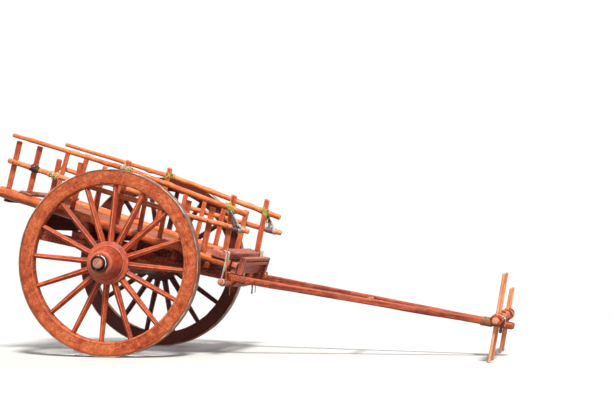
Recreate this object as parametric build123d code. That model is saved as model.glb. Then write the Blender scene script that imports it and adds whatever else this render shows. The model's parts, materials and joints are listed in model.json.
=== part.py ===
from build123d import *
import math
import os

# Two-wheeled bullock cart, unhitched and parked nose down on the pins of its yoke.
# Millimetres. X forward, Y left, Z up, the ground at Z = 0 and the bounding box centred on X = 0 and Y = 0.
# The frame of the cart is drawn level, with the axle's centre at the origin ("cart frame"), and then tipped
# about the axle until the pins of the yoke stand on the ground. The wheels are drawn upright.

# Clearances
seat_gap = 0.3            # a piece in its mortise, housing or saddle
shoulder_gap = 0.6        # a spoke's shoulder to the curved face that it stands on
running_gap = 0.05        # radial, a pin or axle arm turning in its bore
end_play = 2.0            # a wheel along the axle arm, each way

# Wheel
wheel_radius = 700.0
track = 1338.0            # between the middle planes of the two rims
tyre_thickness = 11.0
rim_width = 80.0
rim_depth = 104.0         # felloe, without the tyre
rim_chamfer = 9.0
felloe_count = 8
felloe_joint = 0.6
spokes_per_felloe = 2
spoke_root_width = 47.0
spoke_root_thickness = 60.0
spoke_tip_width = 35.0
spoke_tip_thickness = 46.0
spoke_edge_share = 0.5    # thickness at the spoke's edges, as a share of that at its ridge
hub_tenon_width = 24.0
hub_tenon_thickness = 44.0
hub_tenon_length = 44.0
rim_tenon_width = 20.0
rim_tenon_thickness = 28.0
rim_tenon_length = 48.0
right_wheel_phase = 5.4   # degrees, first spoke ahead of vertical
left_wheel_phase = 13.0

# Hub, turned: s is the distance outward from the rim's middle plane
hub_flange_radius = 163.0
hub_flange_half_width = 33.0
hub_ridge_radius = 133.0
hub_ridge_inner = 46.0    # s where the ridge rises from the flange's sloping face
hub_ridge_width = 12.0
hub_waist_radius = 126.0
hub_nose_radius = 88.0
hub_nose_reach = 194.0
hub_nose_round = 8.0
hub_nose_band = 30.0      # length of the turned band behind the nose
hub_nose_step = 3.0       # how far the band stands proud of the bell's end
hub_bell_radius = 320.0   # the curve between ridge and nose
hub_tail_radius = 99.0
hub_tail_reach = 204.0
hub_ring_height = 6.0
hub_ring_width = 14.0
hub_ring_places = [-160.0, -118.0]

# Iron box that lines the hub
box_bore_radius = 45.0
box_wall = 12.0
box_collar_radius = 62.0
box_collar_length = 41.0
box_collar_chamfer = 4.0
box_mouth_radius = 50.5
box_mouth_depth = 26.0

# Axle
axle_bed_width = 130.0    # along X
axle_bed_top = 78.0
axle_bed_bottom = -82.0
axle_bed_chamfer = 14.0
arm_reach_past_box = 22.0
arm_end_radius = 43.0
arm_end_chamfer = 6.0
linchpin_radius = 5.0
linchpin_above = 60.0
linchpin_below = 54.0
linchpin_head_radius = 8.0
linchpin_head_height = 9.0

# Draught poles, seen from the side: the rear stretch, then a steeper nose
pole_rear_x = -720.0
pole_bend_x = 950.0
pole_height_at_axle = 75.0
pole_rear_slope = 5.1
pole_nose_slope = 7.3
pole_nose_length = 1930.0  # from the bend to the king peg
pole_overhang = 95.0       # ahead of the king peg
pole_depth_rear = 80.0
pole_taper_x = 200.0
pole_depth_bend = 54.0
pole_depth_nose = 50.0

# Draught poles, seen from above
pole_to_rail = 120.0       # across the cart, pole's centre to side rail's centre, under the body
pole_width_rear = 70.0
pole_width_bend = 64.0
pole_width_nose = 46.0
pole_turn_x = 1040.0
pole_turn_radius = 1200.0
pole_nose_spread = 56.0    # pole's centre from the cart's middle, at the king peg

# Cart body, heights above the axle's centre
rail_to_rim = 169.0        # across the cart, rail's centre to the rim's middle plane
rail_z = 249.0
rail_rear_x = -1060.0
rail_front_x = 845.0
rail_rear_radius = 43.0
rail_front_radius = 33.0
rail_sides = 16
rail_end_chamfer = 5.0
floor_z = 226.0            # top of the cross beams, underside of the floor boards
board_thickness = 20.0
board_count = 7
board_gap = 8.0
board_side_gap = 10.0      # between the outer boards and the rails
floor_end_gap = 5.0        # to the plank and the sill that bound the floor
beam_overhang = 45.0       # past the rail's centre
bolster_x = 102.0
bolster_length = 66.0      # along X
# (x, length along X)
cross_beams = [
    (-686.0, 60.0),
    (-290.0, 60.0),
    (432.0, 52.0),
    (690.0, 46.0),
]
tail_beam_x = -1000.0
tail_beam_size = (50.0, 46.0)      # along X, along Z
tail_tenon = 14.0
rear_plank_x = -845.0
rear_plank_size = (104.0, 24.0)    # along X, along Z
rear_plank_overhang = 24.0
sill_x = 760.0                     # front cross beam that lies on the rails
sill_size = (118.0, 62.0)          # along X, along Z
sill_overhang = 50.0
sill_chamfer = 7.0
saddle_depth = 10.0                # how far the sill and the rear plank are cut over the rails

# Rack: stakes in the rails, and poles lashed along each side
rack_lean = 3.9                    # outward, degrees
stake_thickness = 22.0
stake_mortise = 46.0
# (foot x, lean of the top behind the foot, top above the rail's centre, width)
stakes = [
    (-993.0, 12.0, 414.0, 40.0),
    (-824.0, 12.0, 422.0, 42.0),
    (-641.0, 18.0, 375.0, 40.0),
    (-453.0, 34.0, 396.0, 40.0),
    (-266.0, 34.0, 383.0, 38.0),
    (-84.0, 38.0, 520.0, 42.0),
    (106.0, 32.0, 383.0, 38.0),
    (272.0, 28.0, 377.0, 38.0),
    (444.0, 28.0, 369.0, 40.0),
    (626.0, 20.0, 375.0, 45.0),
    (799.0, 60.0, 509.0, 44.0),
]
# (name, rear x, rear height above the rail's centre, front x, front height, radius, sag in the middle)
rack_poles = [
    ("mid_rail", -1045.0, 251.0, 930.0, 283.0, 20.0, 17.0),
    ("top_rail_rear", -1060.0, 449.0, -121.0, 453.0, 16.5, 0.0),
    ("top_rail_front", -117.0, 458.0, 880.0, 400.0, 21.0, 0.0),
]
rack_pole_taper = 1.0              # the rear end's radius less, the front end's more, on the straight ones
rack_pole_chamfer = 4.0

# Front of the body
bearer_x = 868.0
bearer_length = 42.0               # along X
bearer_top_z = 270.0
bearer_end_height = 38.0
bearer_overhang = 62.0             # past the draught pole's centre
bearer_shoulder = 4.0              # past the draught pole's side
post_x = 913.0
post_length = 46.0                 # along X
post_width = 45.0
post_top_z = 323.0
foot_plank_depth = 42.0            # along X
foot_plank_thickness = 27.0
foot_plank_pitch = 33.0
foot_plank_tenon = 16.0
log_x = 858.0
log_radius = 20.0
log_overhang = 140.0               # past the rail's centre
log_bow = 22.0                     # forward in the middle
log_sag = 26.0                     # down in the middle
peg_x = 952.0
peg_radius = 8.0
peg_above = 24.0
peg_below = 8.0
spreader_x = 1850.0
spreader_radius = 17.0
spreader_tenon_radius = 11.0
spreader_tenon_length = 24.0
spreader_shoulder_gap = 6.0

# Yoke, in its own frame: Z along the pins, its centre above the poles' nose
yoke_radius = 35.0
yoke_end_radius = 28.0
yoke_half_length = 705.0
yoke_straight_half = 658.0
yoke_flat_height = 30.0            # from the yoke's centre down to its seat on the poles
yoke_flat_half_length = 135.0
neck_flat_height = 31.0            # from the yoke's centre down to the flats over the necks
neck_flat_inset = 24.0             # from a pin's centre to the end of the flat beside it
yoke_end_chamfer = 6.0
king_peg_radius = 13.0
king_peg_head_radius = 21.0
king_peg_head_height = 18.0
king_peg_below = 45.0
nose_block_rear = 150.0            # behind the king peg
nose_block_front = 85.0
pin_radius = 11.0
pin_below = 300.0
pin_end_chamfer = 3.0
# (y, height above the yoke's centre)
yoke_pins = [
    (-640.0, 345.0),
    (-360.0, 345.0),
    (360.0, 210.0),
    (640.0, 210.0),
]

# Sizes that follow
spoke_count = felloe_count * spokes_per_felloe
felloe_outer = wheel_radius - tyre_thickness - seat_gap
felloe_inner = felloe_outer - rim_depth
box_radius = box_bore_radius + box_wall
box_end = hub_nose_reach + box_collar_length
arm_radius = box_bore_radius - running_gap
arm_end = track / 2 + box_end + arm_reach_past_box
rail_y = track / 2 - rail_to_rim
pole_spread = rail_y - pole_to_rail
linchpin_y = track / 2 + box_end + end_play + linchpin_head_radius
axle_bed_half = track / 2 - hub_tail_reach - end_play - 4.0
lean = math.radians(rack_lean)
rear_tan = math.tan(math.radians(pole_rear_slope))
nose_angle = math.radians(pole_nose_slope)
pole_bend_z = pole_height_at_axle + pole_bend_x * rear_tan
nose_x = pole_bend_x + pole_nose_length * math.cos(nose_angle)
nose_z = pole_bend_z + pole_nose_length * math.sin(nose_angle)
floor_rear_x = rear_plank_x + rear_plank_size[0] / 2 + floor_end_gap
floor_front_x = sill_x - sill_size[0] / 2 - floor_end_gap
yoke_rise = pole_depth_nose / 2 + seat_gap + yoke_flat_height
yoke_x = nose_x - yoke_rise * math.sin(nose_angle)
yoke_z = nose_z + yoke_rise * math.cos(nose_angle)

# Tip of the parked cart: the front edge of each pin's foot comes down to the ground
foot_edge = pin_radius - pin_end_chamfer
foot_x = yoke_x + foot_edge * math.cos(nose_angle) + pin_below * math.sin(nose_angle)
foot_z = yoke_z + foot_edge * math.sin(nose_angle) - pin_below * math.cos(nose_angle)
foot_reach = math.hypot(foot_x, foot_z)
park_tip = math.degrees(math.atan2(foot_z, foot_x) + math.asin(wheel_radius / foot_reach))


def pole_centre_z(x):
    return pole_height_at_axle + x * rear_tan


def pole_depth(x):
    if x <= pole_taper_x:
        return pole_depth_rear
    share = (x - pole_taper_x) / (pole_bend_x - pole_taper_x)
    return pole_depth_rear + share * (pole_depth_bend - pole_depth_rear)


def pole_top_z(x):
    return pole_centre_z(x) + pole_depth(x) / 2


def pole_bottom_z(x):
    return pole_centre_z(x) - pole_depth(x) / 2


def side_prism(points, y_low, y_high):
    """A plate from an outline in the XZ plane, given as (x, z), between two values of Y."""
    plane = Plane(origin=(0, y_low, 0), x_dir=(1, 0, 0), z_dir=(0, -1, 0))
    return extrude(plane * make_face(Polyline(*points, close=True)), amount=y_low - y_high)


def block(x_span, y_span, z_span):
    size = [high - low for low, high in (x_span, y_span, z_span)]
    middle = [(low + high) / 2 for low, high in (x_span, y_span, z_span)]
    return Pos(*middle) * Box(*size)


def turned(outline, about=Axis.Z):
    """A solid of revolution from an outline of (radius, height) points about Z."""
    face = Plane.XZ * make_face(Polyline(*outline, close=True))
    return revolve(face, about)


def rod(start, end, start_radius, end_radius, chamfer_size):
    """A round pole between two points, with eased ends."""
    direction = Vector(*end) - Vector(*start)
    length = direction.length
    body = turned(
        [
            (0, 0),
            (start_radius - chamfer_size, 0),
            (start_radius, chamfer_size),
            (end_radius, length - chamfer_size),
            (end_radius - chamfer_size, length),
            (0, length),
        ]
    )
    return Plane(origin=start, z_dir=direction) * body


def bent_rod(path, radius, end_size):
    """A round pole along an arc, with a short cone at each end."""
    share = end_size / path.length
    middle = path.edge().trim(share, 1 - share)
    body = sweep(Plane(origin=middle @ 0, z_dir=middle % 0) * Circle(radius), path=middle)
    tip = Cone(radius, radius - end_size, end_size, align=(Align.CENTER, Align.CENTER, Align.MIN))
    body += Plane(origin=middle @ 0, z_dir=-(middle % 0)) * tip
    return body + Plane(origin=middle @ 1, z_dir=middle % 1) * tip


def mirrored(shape):
    return mirror(shape, about=Plane.XZ)


def group(solids):
    return Compound(children=list(solids))


def tyre():
    """Flat iron hoop, shrunk on the felloes."""
    inner = wheel_radius - tyre_thickness
    half = rim_width / 2
    edge = 2.0
    return turned_about_y(
        [
            (inner, -half),
            (wheel_radius - edge, -half),
            (wheel_radius, -half + edge),
            (wheel_radius, half - edge),
            (wheel_radius - edge, half),
            (inner, half),
        ]
    )


def turned_about_y(outline, angle=360.0):
    """A solid of revolution from (radius, y) points about the wheel's axis, starting at the top."""
    face = Plane(origin=(0, 0, 0), x_dir=(0, 0, 1), z_dir=(1, 0, 0)) * make_face(
        Polyline(*[(radius, -y) for radius, y in outline], close=True)
    )
    return revolve(face, Axis.Y, revolution_arc=angle)


def spoke_section(radius, width, thickness):
    """Six-sided, with a ridge down the middle of each face."""
    half_width = width / 2
    half_edge = thickness * spoke_edge_share / 2
    points = [
        (0, thickness / 2),
        (half_width, half_edge),
        (half_width, -half_edge),
        (0, -thickness / 2),
        (-half_width, -half_edge),
        (-half_width, half_edge),
    ]
    return Plane.XY.offset(radius) * make_face(Polyline(*points, close=True))


def spoke_tenons(gap):
    """Both tenons of a spoke, or with a gap the mortises for them."""
    root = hub_flange_radius + shoulder_gap
    tip = felloe_inner - shoulder_gap
    hub_tenon = block(
        (-hub_tenon_width / 2 - gap, hub_tenon_width / 2 + gap),
        (-hub_tenon_thickness / 2 - gap, hub_tenon_thickness / 2 + gap),
        (root - hub_tenon_length - gap, root + 1.0),
    )
    rim_tenon = block(
        (-rim_tenon_width / 2 - gap, rim_tenon_width / 2 + gap),
        (-rim_tenon_thickness / 2 - gap, rim_tenon_thickness / 2 + gap),
        (tip - 1.0, tip + rim_tenon_length + gap),
    )
    return hub_tenon, rim_tenon


def spoke():
    root = spoke_section(hub_flange_radius + shoulder_gap, spoke_root_width, spoke_root_thickness)
    tip = spoke_section(felloe_inner - shoulder_gap, spoke_tip_width, spoke_tip_thickness)
    hub_tenon, rim_tenon = spoke_tenons(0)
    return loft([root, tip], ruled=True) + hub_tenon + rim_tenon


def spoke_turns(phase):
    return [phase + index * 360.0 / spoke_count for index in range(spoke_count)]


def spokes(phase):
    one = spoke()
    return group(Rot(0, turn, 0) * one for turn in spoke_turns(phase))


def felloes(phase):
    """Eight sawn lengths of rim, each mortised for its two spokes."""
    half = rim_width / 2
    arc = 360.0 / felloe_count - math.degrees(felloe_joint / felloe_inner)
    pitch = 360.0 / spoke_count
    felloe = Rot(0, -arc / 2, 0) * turned_about_y(
        [
            (felloe_outer, -half),
            (felloe_outer, half),
            (felloe_inner + rim_chamfer, half),
            (felloe_inner, half - rim_chamfer),
            (felloe_inner, rim_chamfer - half),
            (felloe_inner + rim_chamfer, -half),
        ],
        arc,
    )
    mortise = spoke_tenons(seat_gap)[1]
    for index in range(spokes_per_felloe):
        felloe -= Rot(0, (index - (spokes_per_felloe - 1) / 2) * pitch, 0) * mortise
    first = phase + (spokes_per_felloe - 1) / 2 * pitch
    return group(
        Rot(0, first + index * 360.0 / felloe_count, 0) * felloe for index in range(felloe_count)
    )


def hub(phase):
    """Turned nave: a flange for the spokes, a long bell to the nose, and rings on the tail."""
    bore = box_radius + seat_gap
    ridge_out = hub_ridge_inner
    ridge_end = ridge_out + hub_ridge_width
    ridge_foot = hub_waist_radius + (hub_ridge_radius - hub_waist_radius) / 2
    tail = [(hub_nose_radius, -hub_tail_reach), (hub_tail_radius, -hub_tail_reach + hub_nose_round)]
    slope = (hub_waist_radius - hub_tail_radius) / (hub_tail_reach - ridge_end)
    for place in hub_ring_places:
        base = hub_tail_radius + slope * (place + hub_tail_reach)
        tail += [
            (base, place - hub_ring_width / 2),
            (base + hub_ring_height, place - hub_ring_width / 2 + 2.0),
            (base + hub_ring_height, place + hub_ring_width / 2 - 2.0),
            (base, place + hub_ring_width / 2),
        ]
    flange = [
        (hub_waist_radius, -ridge_end),
        (hub_ridge_radius, -ridge_end + 3.0),
        (hub_ridge_radius, -ridge_out - 3.0),
        (ridge_foot, -ridge_out),
        (hub_flange_radius, -hub_flange_half_width),
        (hub_flange_radius, hub_flange_half_width),
        (ridge_foot, ridge_out),
        (hub_ridge_radius, ridge_out + 3.0),
        (hub_ridge_radius, ridge_end - 3.0),
        (hub_waist_radius, ridge_end),
    ]
    nose_start = hub_nose_reach - hub_nose_round
    band_start = nose_start - hub_nose_band
    bell_end = hub_nose_radius + hub_nose_step
    frame = Plane(origin=(0, 0, 0), x_dir=(0, 0, 1), z_dir=(1, 0, 0))
    lower = [(radius, -y) for radius, y in [(bore, -hub_tail_reach)] + tail + flange]
    bell = RadiusArc((hub_waist_radius, -ridge_end), (bell_end, -band_start), hub_bell_radius)
    upper = [
        (bell_end, -band_start),
        (bell_end + hub_nose_step, -band_start),
        (hub_nose_radius, -nose_start),
        (hub_nose_radius - hub_nose_round, -hub_nose_reach),
        (bore, -hub_nose_reach),
        (bore, hub_tail_reach),
    ]
    outline = make_face([*Polyline(*lower).edges(), bell.edge(), *Polyline(*upper).edges()])
    nave = revolve(frame * outline, Axis.Y)
    mortise = spoke_tenons(seat_gap)[0]
    for turn in spoke_turns(phase):
        nave -= Rot(0, turn, 0) * mortise
    return nave


def hub_box():
    """Iron lining of the hub, with a collar that stands out of the nose and is worn bright."""
    collar_start = hub_nose_reach + seat_gap
    return turned_about_y(
        [
            (box_bore_radius, -hub_tail_reach),
            (box_radius, -hub_tail_reach),
            (box_radius, collar_start),
            (box_collar_radius, collar_start),
            (box_collar_radius, box_end - box_collar_chamfer),
            (box_collar_radius - box_collar_chamfer, box_end),
            (box_mouth_radius, box_end),
            (box_mouth_radius, box_end - box_mouth_depth),
            (box_bore_radius, box_end - box_mouth_depth),
        ]
    )


def axle():
    """One timber: a square bed housed for the poles, and a turned arm at each end."""
    half = axle_bed_width / 2
    edge = axle_bed_chamfer
    bed = side_prism(
        [
            (-half, axle_bed_bottom + edge),
            (-half + edge, axle_bed_bottom),
            (half - edge, axle_bed_bottom),
            (half, axle_bed_bottom + edge),
            (half, axle_bed_top - edge),
            (half - edge, axle_bed_top),
            (-half + edge, axle_bed_top),
            (-half, axle_bed_top - edge),
        ],
        -axle_bed_half,
        axle_bed_half,
    )
    arm = turned_about_y(
        [
            (0, axle_bed_half - arm_radius),
            (arm_radius, axle_bed_half - arm_radius),
            (arm_radius, track / 2 + box_end - box_mouth_depth),
            (arm_end_radius, track / 2 + box_end - box_mouth_depth + 10.0),
            (arm_end_radius, arm_end - arm_end_chamfer),
            (arm_end_radius - arm_end_chamfer, arm_end),
            (0, arm_end),
        ]
    )
    hole = Pos(0, linchpin_y, 0) * Cylinder(linchpin_radius + seat_gap, 3 * arm_radius)
    whole = bed + arm + mirrored(arm) - hole - mirrored(hole)
    housing = side_prism(
        [
            (-half - 1, pole_bottom_z(-half - 1)),
            (half + 1, pole_bottom_z(half + 1)),
            (half + 1, axle_bed_top + 1),
            (-half - 1, axle_bed_top + 1),
        ],
        pole_spread - pole_width_rear / 2 - seat_gap,
        pole_spread + pole_width_rear / 2 + seat_gap,
    )
    return whole - housing - mirrored(housing)


def linchpin():
    shaft = turned(
        [
            (0, -linchpin_below),
            (linchpin_radius - 1.5, -linchpin_below),
            (linchpin_radius, -linchpin_below + 4.0),
            (linchpin_radius, linchpin_above - linchpin_head_height),
            (linchpin_head_radius, linchpin_above - linchpin_head_height + 2.0),
            (linchpin_head_radius, linchpin_above - 2.0),
            (linchpin_head_radius - 2.0, linchpin_above),
            (0, linchpin_above),
        ]
    )
    return Pos(0, linchpin_y, 0) * shaft


def pole_outline_side():
    """Side view of a draught pole as (x, z) points, from tail to nose along the top and back below."""
    tip_x = nose_x + pole_overhang * math.cos(nose_angle)
    tip_z = nose_z + pole_overhang * math.sin(nose_angle)
    across = pole_depth_nose / 2
    tip_top = (tip_x - across * math.sin(nose_angle), tip_z + across * math.cos(nose_angle))
    tip_bottom = (tip_x + across * math.sin(nose_angle), tip_z - across * math.cos(nose_angle))
    rear_cut = pole_depth_rear / 4
    top = [(pole_rear_x, pole_top_z(pole_rear_x)), (pole_taper_x, pole_top_z(pole_taper_x))]
    top += [(pole_bend_x, pole_top_z(pole_bend_x)), tip_top]
    bottom = [tip_bottom, (pole_bend_x, pole_bottom_z(pole_bend_x))]
    bottom += [(pole_taper_x, pole_bottom_z(pole_taper_x))]
    bottom += [(pole_rear_x + rear_cut, pole_bottom_z(pole_rear_x + rear_cut))]
    return top + bottom


def nose_half_spread(x):
    """Distance from the middle to a pole's centre line, ahead of where it turns in."""
    share = (x - pole_turn_x) / (nose_x - pole_turn_x)
    return pole_spread + share * (pole_nose_spread - pole_spread)


def pole_half_width(x):
    share = (x - pole_turn_x) / (nose_x - pole_turn_x)
    return (pole_width_bend + share * (pole_width_nose - pole_width_bend)) / 2


def draught_pole():
    """Left pole: hewn square, it runs back under the body and turns in ahead of it towards the yoke."""
    front = nose_x + 2 * pole_overhang
    rear = pole_rear_x - pole_width_rear
    outer = [
        (rear, pole_spread + pole_width_rear / 2),
        (pole_taper_x, pole_spread + pole_width_rear / 2),
        (pole_turn_x, pole_spread + pole_width_bend / 2),
        (front, nose_half_spread(front) + pole_half_width(front)),
    ]
    inner = [
        (front, nose_half_spread(front) - pole_half_width(front)),
        (pole_turn_x, pole_spread - pole_width_bend / 2),
        (pole_taper_x, pole_spread - pole_width_rear / 2),
        (rear, pole_spread - pole_width_rear / 2),
    ]
    outer_line = FilletPolyline(*outer, radius=[0, pole_turn_radius])
    inner_line = FilletPolyline(*inner, radius=[pole_turn_radius, 0])
    ends = [Line(outer[-1], inner[0]), Line(inner[-1], outer[0])]
    edges = [*outer_line.edges(), ends[0].edge(), *inner_line.edges(), ends[1].edge()]
    plan = extrude(make_face(edges), amount=nose_x, both=True)
    side = side_prism(pole_outline_side(), 0, pole_spread + pole_width_rear)
    pole = plan & side
    pole -= pole_place(peg_x) * Cylinder(peg_radius + seat_gap, 2 * pole_depth_rear)
    return pole - spreader(seat_gap)


def pole_place(x):
    """Middle of a draught pole at x, square to it."""
    if x <= pole_bend_x:
        return Pos(x, pole_spread, pole_centre_z(x)) * Rot(0, -pole_rear_slope, 0)
    z = pole_bend_z + (x - pole_bend_x) * math.tan(nose_angle)
    y = pole_spread if x <= pole_turn_x else nose_half_spread(x)
    return Pos(x, y, z) * Rot(0, -pole_nose_slope, 0)


def pegs():
    """A treenail through each draught pole."""
    half = pole_depth_bend / 2
    start = (0, 0, -half - peg_below)
    peg = pole_place(peg_x) * rod(start, (0, 0, half + peg_above), peg_radius, peg_radius, 2.0)
    return group([peg, mirrored(peg)])


def spreader(gap=0.0):
    """Round bar that keeps the draught poles apart, tenoned into both."""
    z = pole_bend_z + (spreader_x - pole_bend_x) * math.tan(nose_angle)
    inner = nose_half_spread(spreader_x) - pole_half_width(spreader_x)
    shoulder = inner - spreader_shoulder_gap
    tenon = inner + spreader_tenon_length
    body = turned_about_y(
        [
            (0, -tenon - gap),
            (spreader_tenon_radius + gap, -tenon - gap),
            (spreader_tenon_radius + gap, -shoulder),
            (spreader_radius, -shoulder),
            (spreader_radius, shoulder),
            (spreader_tenon_radius + gap, shoulder),
            (spreader_tenon_radius + gap, tenon + gap),
            (0, tenon + gap),
        ]
    )
    return Pos(spreader_x, 0, z) * body


def nose_block():
    """Wedge between the poles' noses, bored for the king peg."""
    rear = nose_x - nose_block_rear
    front = nose_x + nose_block_front
    inner_rear = nose_half_spread(rear) - pole_half_width(rear) - seat_gap
    inner_front = nose_half_spread(front) - pole_half_width(front) - seat_gap
    outline = [(rear, -inner_rear), (front, -inner_front), (front, inner_front), (rear, inner_rear)]
    plan = extrude(make_face(Polyline(*outline, close=True)), amount=2 * nose_z)
    level = Pos(nose_x, 0, nose_z) * Rot(0, -pole_nose_slope, 0)
    slab = level * Box(4 * nose_block_rear, 4 * pole_nose_spread, pole_depth_nose)
    return (plan & slab) - level * Cylinder(king_peg_radius + seat_gap, 2 * pole_depth_nose)


def yoke_place():
    return Pos(yoke_x, 0, yoke_z) * Rot(0, -pole_nose_slope, 0)


def king_peg():
    """Headed peg that holds the yoke on the nose of the poles and lets it swivel."""
    bottom = -yoke_rise - pole_depth_nose / 2 - king_peg_below
    head = yoke_radius + 1.0
    top = head + king_peg_head_height
    body = turned(
        [
            (0, bottom),
            (king_peg_radius - 3.0, bottom),
            (king_peg_radius, bottom + 8.0),
            (king_peg_radius, head),
            (king_peg_head_radius, head),
            (king_peg_head_radius, top - 5.0),
            (king_peg_head_radius - 5.0, top),
            (0, top),
        ]
    )
    return yoke_place() * body


def yoke_beam():
    """Round timber, flat where it sits on the poles, bored for the king peg and four pins."""
    end = yoke_half_length
    body = turned_about_y(
        [
            (0, -end),
            (yoke_end_radius - yoke_end_chamfer, -end),
            (yoke_end_radius, -end + yoke_end_chamfer),
            (yoke_radius, -yoke_straight_half),
            (yoke_radius, yoke_straight_half),
            (yoke_end_radius, end - yoke_end_chamfer),
            (yoke_end_radius - yoke_end_chamfer, end),
            (0, end),
        ]
    )
    flat = block(
        (-2 * yoke_radius, 2 * yoke_radius),
        (-yoke_flat_half_length, yoke_flat_half_length),
        (-2 * yoke_radius, -yoke_flat_height),
    )
    neck = block(
        (-2 * yoke_radius, 2 * yoke_radius),
        (yoke_pins[2][0] + neck_flat_inset, yoke_pins[3][0] - neck_flat_inset),
        (-2 * yoke_radius, -neck_flat_height),
    )
    body = body - flat - neck - mirrored(neck)
    body -= Cylinder(king_peg_radius + running_gap, 4 * yoke_radius)
    for y, _above in yoke_pins:
        body -= Pos(0, y, 0) * Cylinder(pin_radius + seat_gap, 4 * yoke_radius)
    return yoke_place() * body


def yoke_pin_set(side):
    """The two pins of one half of the yoke, side +1 for the left and -1 for the right."""
    chosen = [(y, above) for y, above in yoke_pins if y * side > 0]
    return group(
        yoke_place() * rod((0, y, -pin_below), (0, y, above), pin_radius, pin_radius, pin_end_chamfer)
        for y, above in chosen
    )


def hewn_log(rings):
    """A log with flats along X, from rings of (x, distance from the middle to a flat)."""
    step = 2 * math.pi / rail_sides
    loops = []
    for x, flat in rings:
        corner = flat / math.cos(step / 2)
        turns = [(index + 0.5) * step for index in range(rail_sides)]
        loops.append([(x, corner * math.cos(turn), corner * math.sin(turn)) for turn in turns])
    sides = [loops[0], loops[-1]]
    for first, second in zip(loops, loops[1:]):
        for index in range(rail_sides):
            after = (index + 1) % rail_sides
            sides.append([first[index], first[after], second[after], second[index]])
    return Solid(Shell([Face(Wire.make_polygon(side)) for side in sides]))


def side_rail(gap=0.0):
    """Left side rail, thicker at the tail. With a gap, the space that it needs."""
    rear = rail_rear_radius + gap
    front = rail_front_radius + gap
    edge = rail_end_chamfer
    rings = [
        (rail_rear_x - gap, rear - edge),
        (rail_rear_x - gap + edge, rear),
        (rail_front_x + gap - edge, front),
        (rail_front_x + gap, front - edge),
    ]
    return Pos(0, rail_y, rail_z) * hewn_log(rings)


def rack_plane(outward=0.0):
    """Plane of the left rack: X forward, Y up along the stakes, its origin on the rail's centre."""
    base = Plane(
        origin=(0, rail_y, rail_z), x_dir=(1, 0, 0), z_dir=(0, -math.cos(lean), math.sin(lean))
    )
    return base.offset(-outward)


def stake(foot, back, top, width, gap=0.0):
    """Flat stake from inside the side rail up to its top, leaning back along the cart."""
    low = -stake_mortise / 2 - gap
    slope = back / top
    outline = [
        (foot - width / 2 - gap - slope * low, low),
        (foot + width / 2 + gap - slope * low, low),
        (foot + width / 2 + gap - back, top),
        (foot - width / 2 - gap - back, top),
    ]
    face = rack_plane() * make_face(Polyline(*outline, close=True))
    return extrude(face, amount=stake_thickness / 2 + gap, both=True)


def stake_set():
    return group(stake(*row) for row in stakes)


def mortised_rail():
    rail = side_rail()
    for row in stakes:
        rail -= stake(*row, gap=seat_gap)
    return rail - tail_beam(seat_gap)


def rack_pole(rear_x, rear_height, front_x, front_height, radius, sag):
    """Round pole lashed to the outside of the stakes, straight and tapered or else bowed down."""
    taper = 0.0 if sag else rack_pole_taper
    plane = rack_plane(stake_thickness / 2 + seat_gap + radius + taper)
    if not sag:
        ends = [
            tuple(plane.from_local_coords(point))
            for point in ((rear_x, rear_height, 0), (front_x, front_height, 0))
        ]
        return rod(*ends, radius - taper, radius + taper, rack_pole_chamfer)
    middle = ((rear_x + front_x) / 2, (rear_height + front_height) / 2 - sag)
    path = plane * ThreePointArc((rear_x, rear_height), middle, (front_x, front_height))
    return bent_rod(path, radius, rack_pole_chamfer)


def cross_beam(x, length):
    """Beam across both poles, its underside cut to their slope and its top cut for the side rails."""
    rear = x - length / 2
    front = x + length / 2
    outline = [
        (rear, pole_top_z(rear)),
        (front, pole_top_z(front)),
        (front, floor_z),
        (rear, floor_z),
    ]
    half = rail_y + beam_overhang
    beam = side_prism(outline, -half, half)
    rail = side_rail(seat_gap)
    return beam - rail - mirrored(rail)


def tail_beam(gap=0.0):
    """Short beam under the tail of the floor, tenoned into the side rails."""
    length, height = tail_beam_size
    half = rail_y - rail_rear_radius + tail_tenon + gap
    return block(
        (tail_beam_x - length / 2 - gap, tail_beam_x + length / 2 + gap),
        (-half, half),
        (floor_z - height - gap, floor_z + gap),
    )


def floor_boards():
    width_inside = 2 * (rail_y - rail_rear_radius - board_side_gap)
    board_width = (width_inside - (board_count - 1) * board_gap) / board_count
    boards = []
    for index in range(board_count):
        low = -width_inside / 2 + index * (board_width + board_gap)
        boards.append(
            block(
                (floor_rear_x, floor_front_x),
                (low, low + board_width),
                (floor_z, floor_z + board_thickness),
            )
        )
    return group(boards)


def over_rails(x, size, overhang, edge=0.0):
    """Timber laid across the tops of both side rails, cut over them and mortised for the stakes."""
    length, height = size
    half = rail_y + overhang
    share = (x - rail_rear_x) / (rail_front_x - rail_rear_x)
    rail_top = rail_z + rail_rear_radius + share * (rail_front_radius - rail_rear_radius)
    bottom = rail_top - saddle_depth
    timber = block((x - length / 2, x + length / 2), (-half, half), (bottom, bottom + height))
    if edge:
        timber = chamfer(timber.edges().filter_by(Axis.Y), edge)
    cut = [side_rail(seat_gap)]
    cut += [stake(*row, gap=seat_gap) for row in stakes if abs(row[0] - x) < length]
    for piece in cut:
        timber = timber - piece - mirrored(piece)
    return timber


def front_bearer():
    """Cross timber ahead of the side rails, standing on the poles, with thinner ends."""
    rear = bearer_x - bearer_length / 2
    front = bearer_x + bearer_length / 2
    outline = [
        (rear, pole_top_z(rear)),
        (front, pole_top_z(front)),
        (front, bearer_top_z),
        (rear, bearer_top_z),
    ]
    half = pole_spread + bearer_overhang
    shoulder = pole_spread + pole_width_rear / 2 + bearer_shoulder
    timber = side_prism(outline, -half, half)
    under = block(
        (rear - bearer_length, front + bearer_length),
        (shoulder, half + bearer_length),
        (0, bearer_top_z - bearer_end_height),
    )
    return timber - under - mirrored(under)


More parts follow.
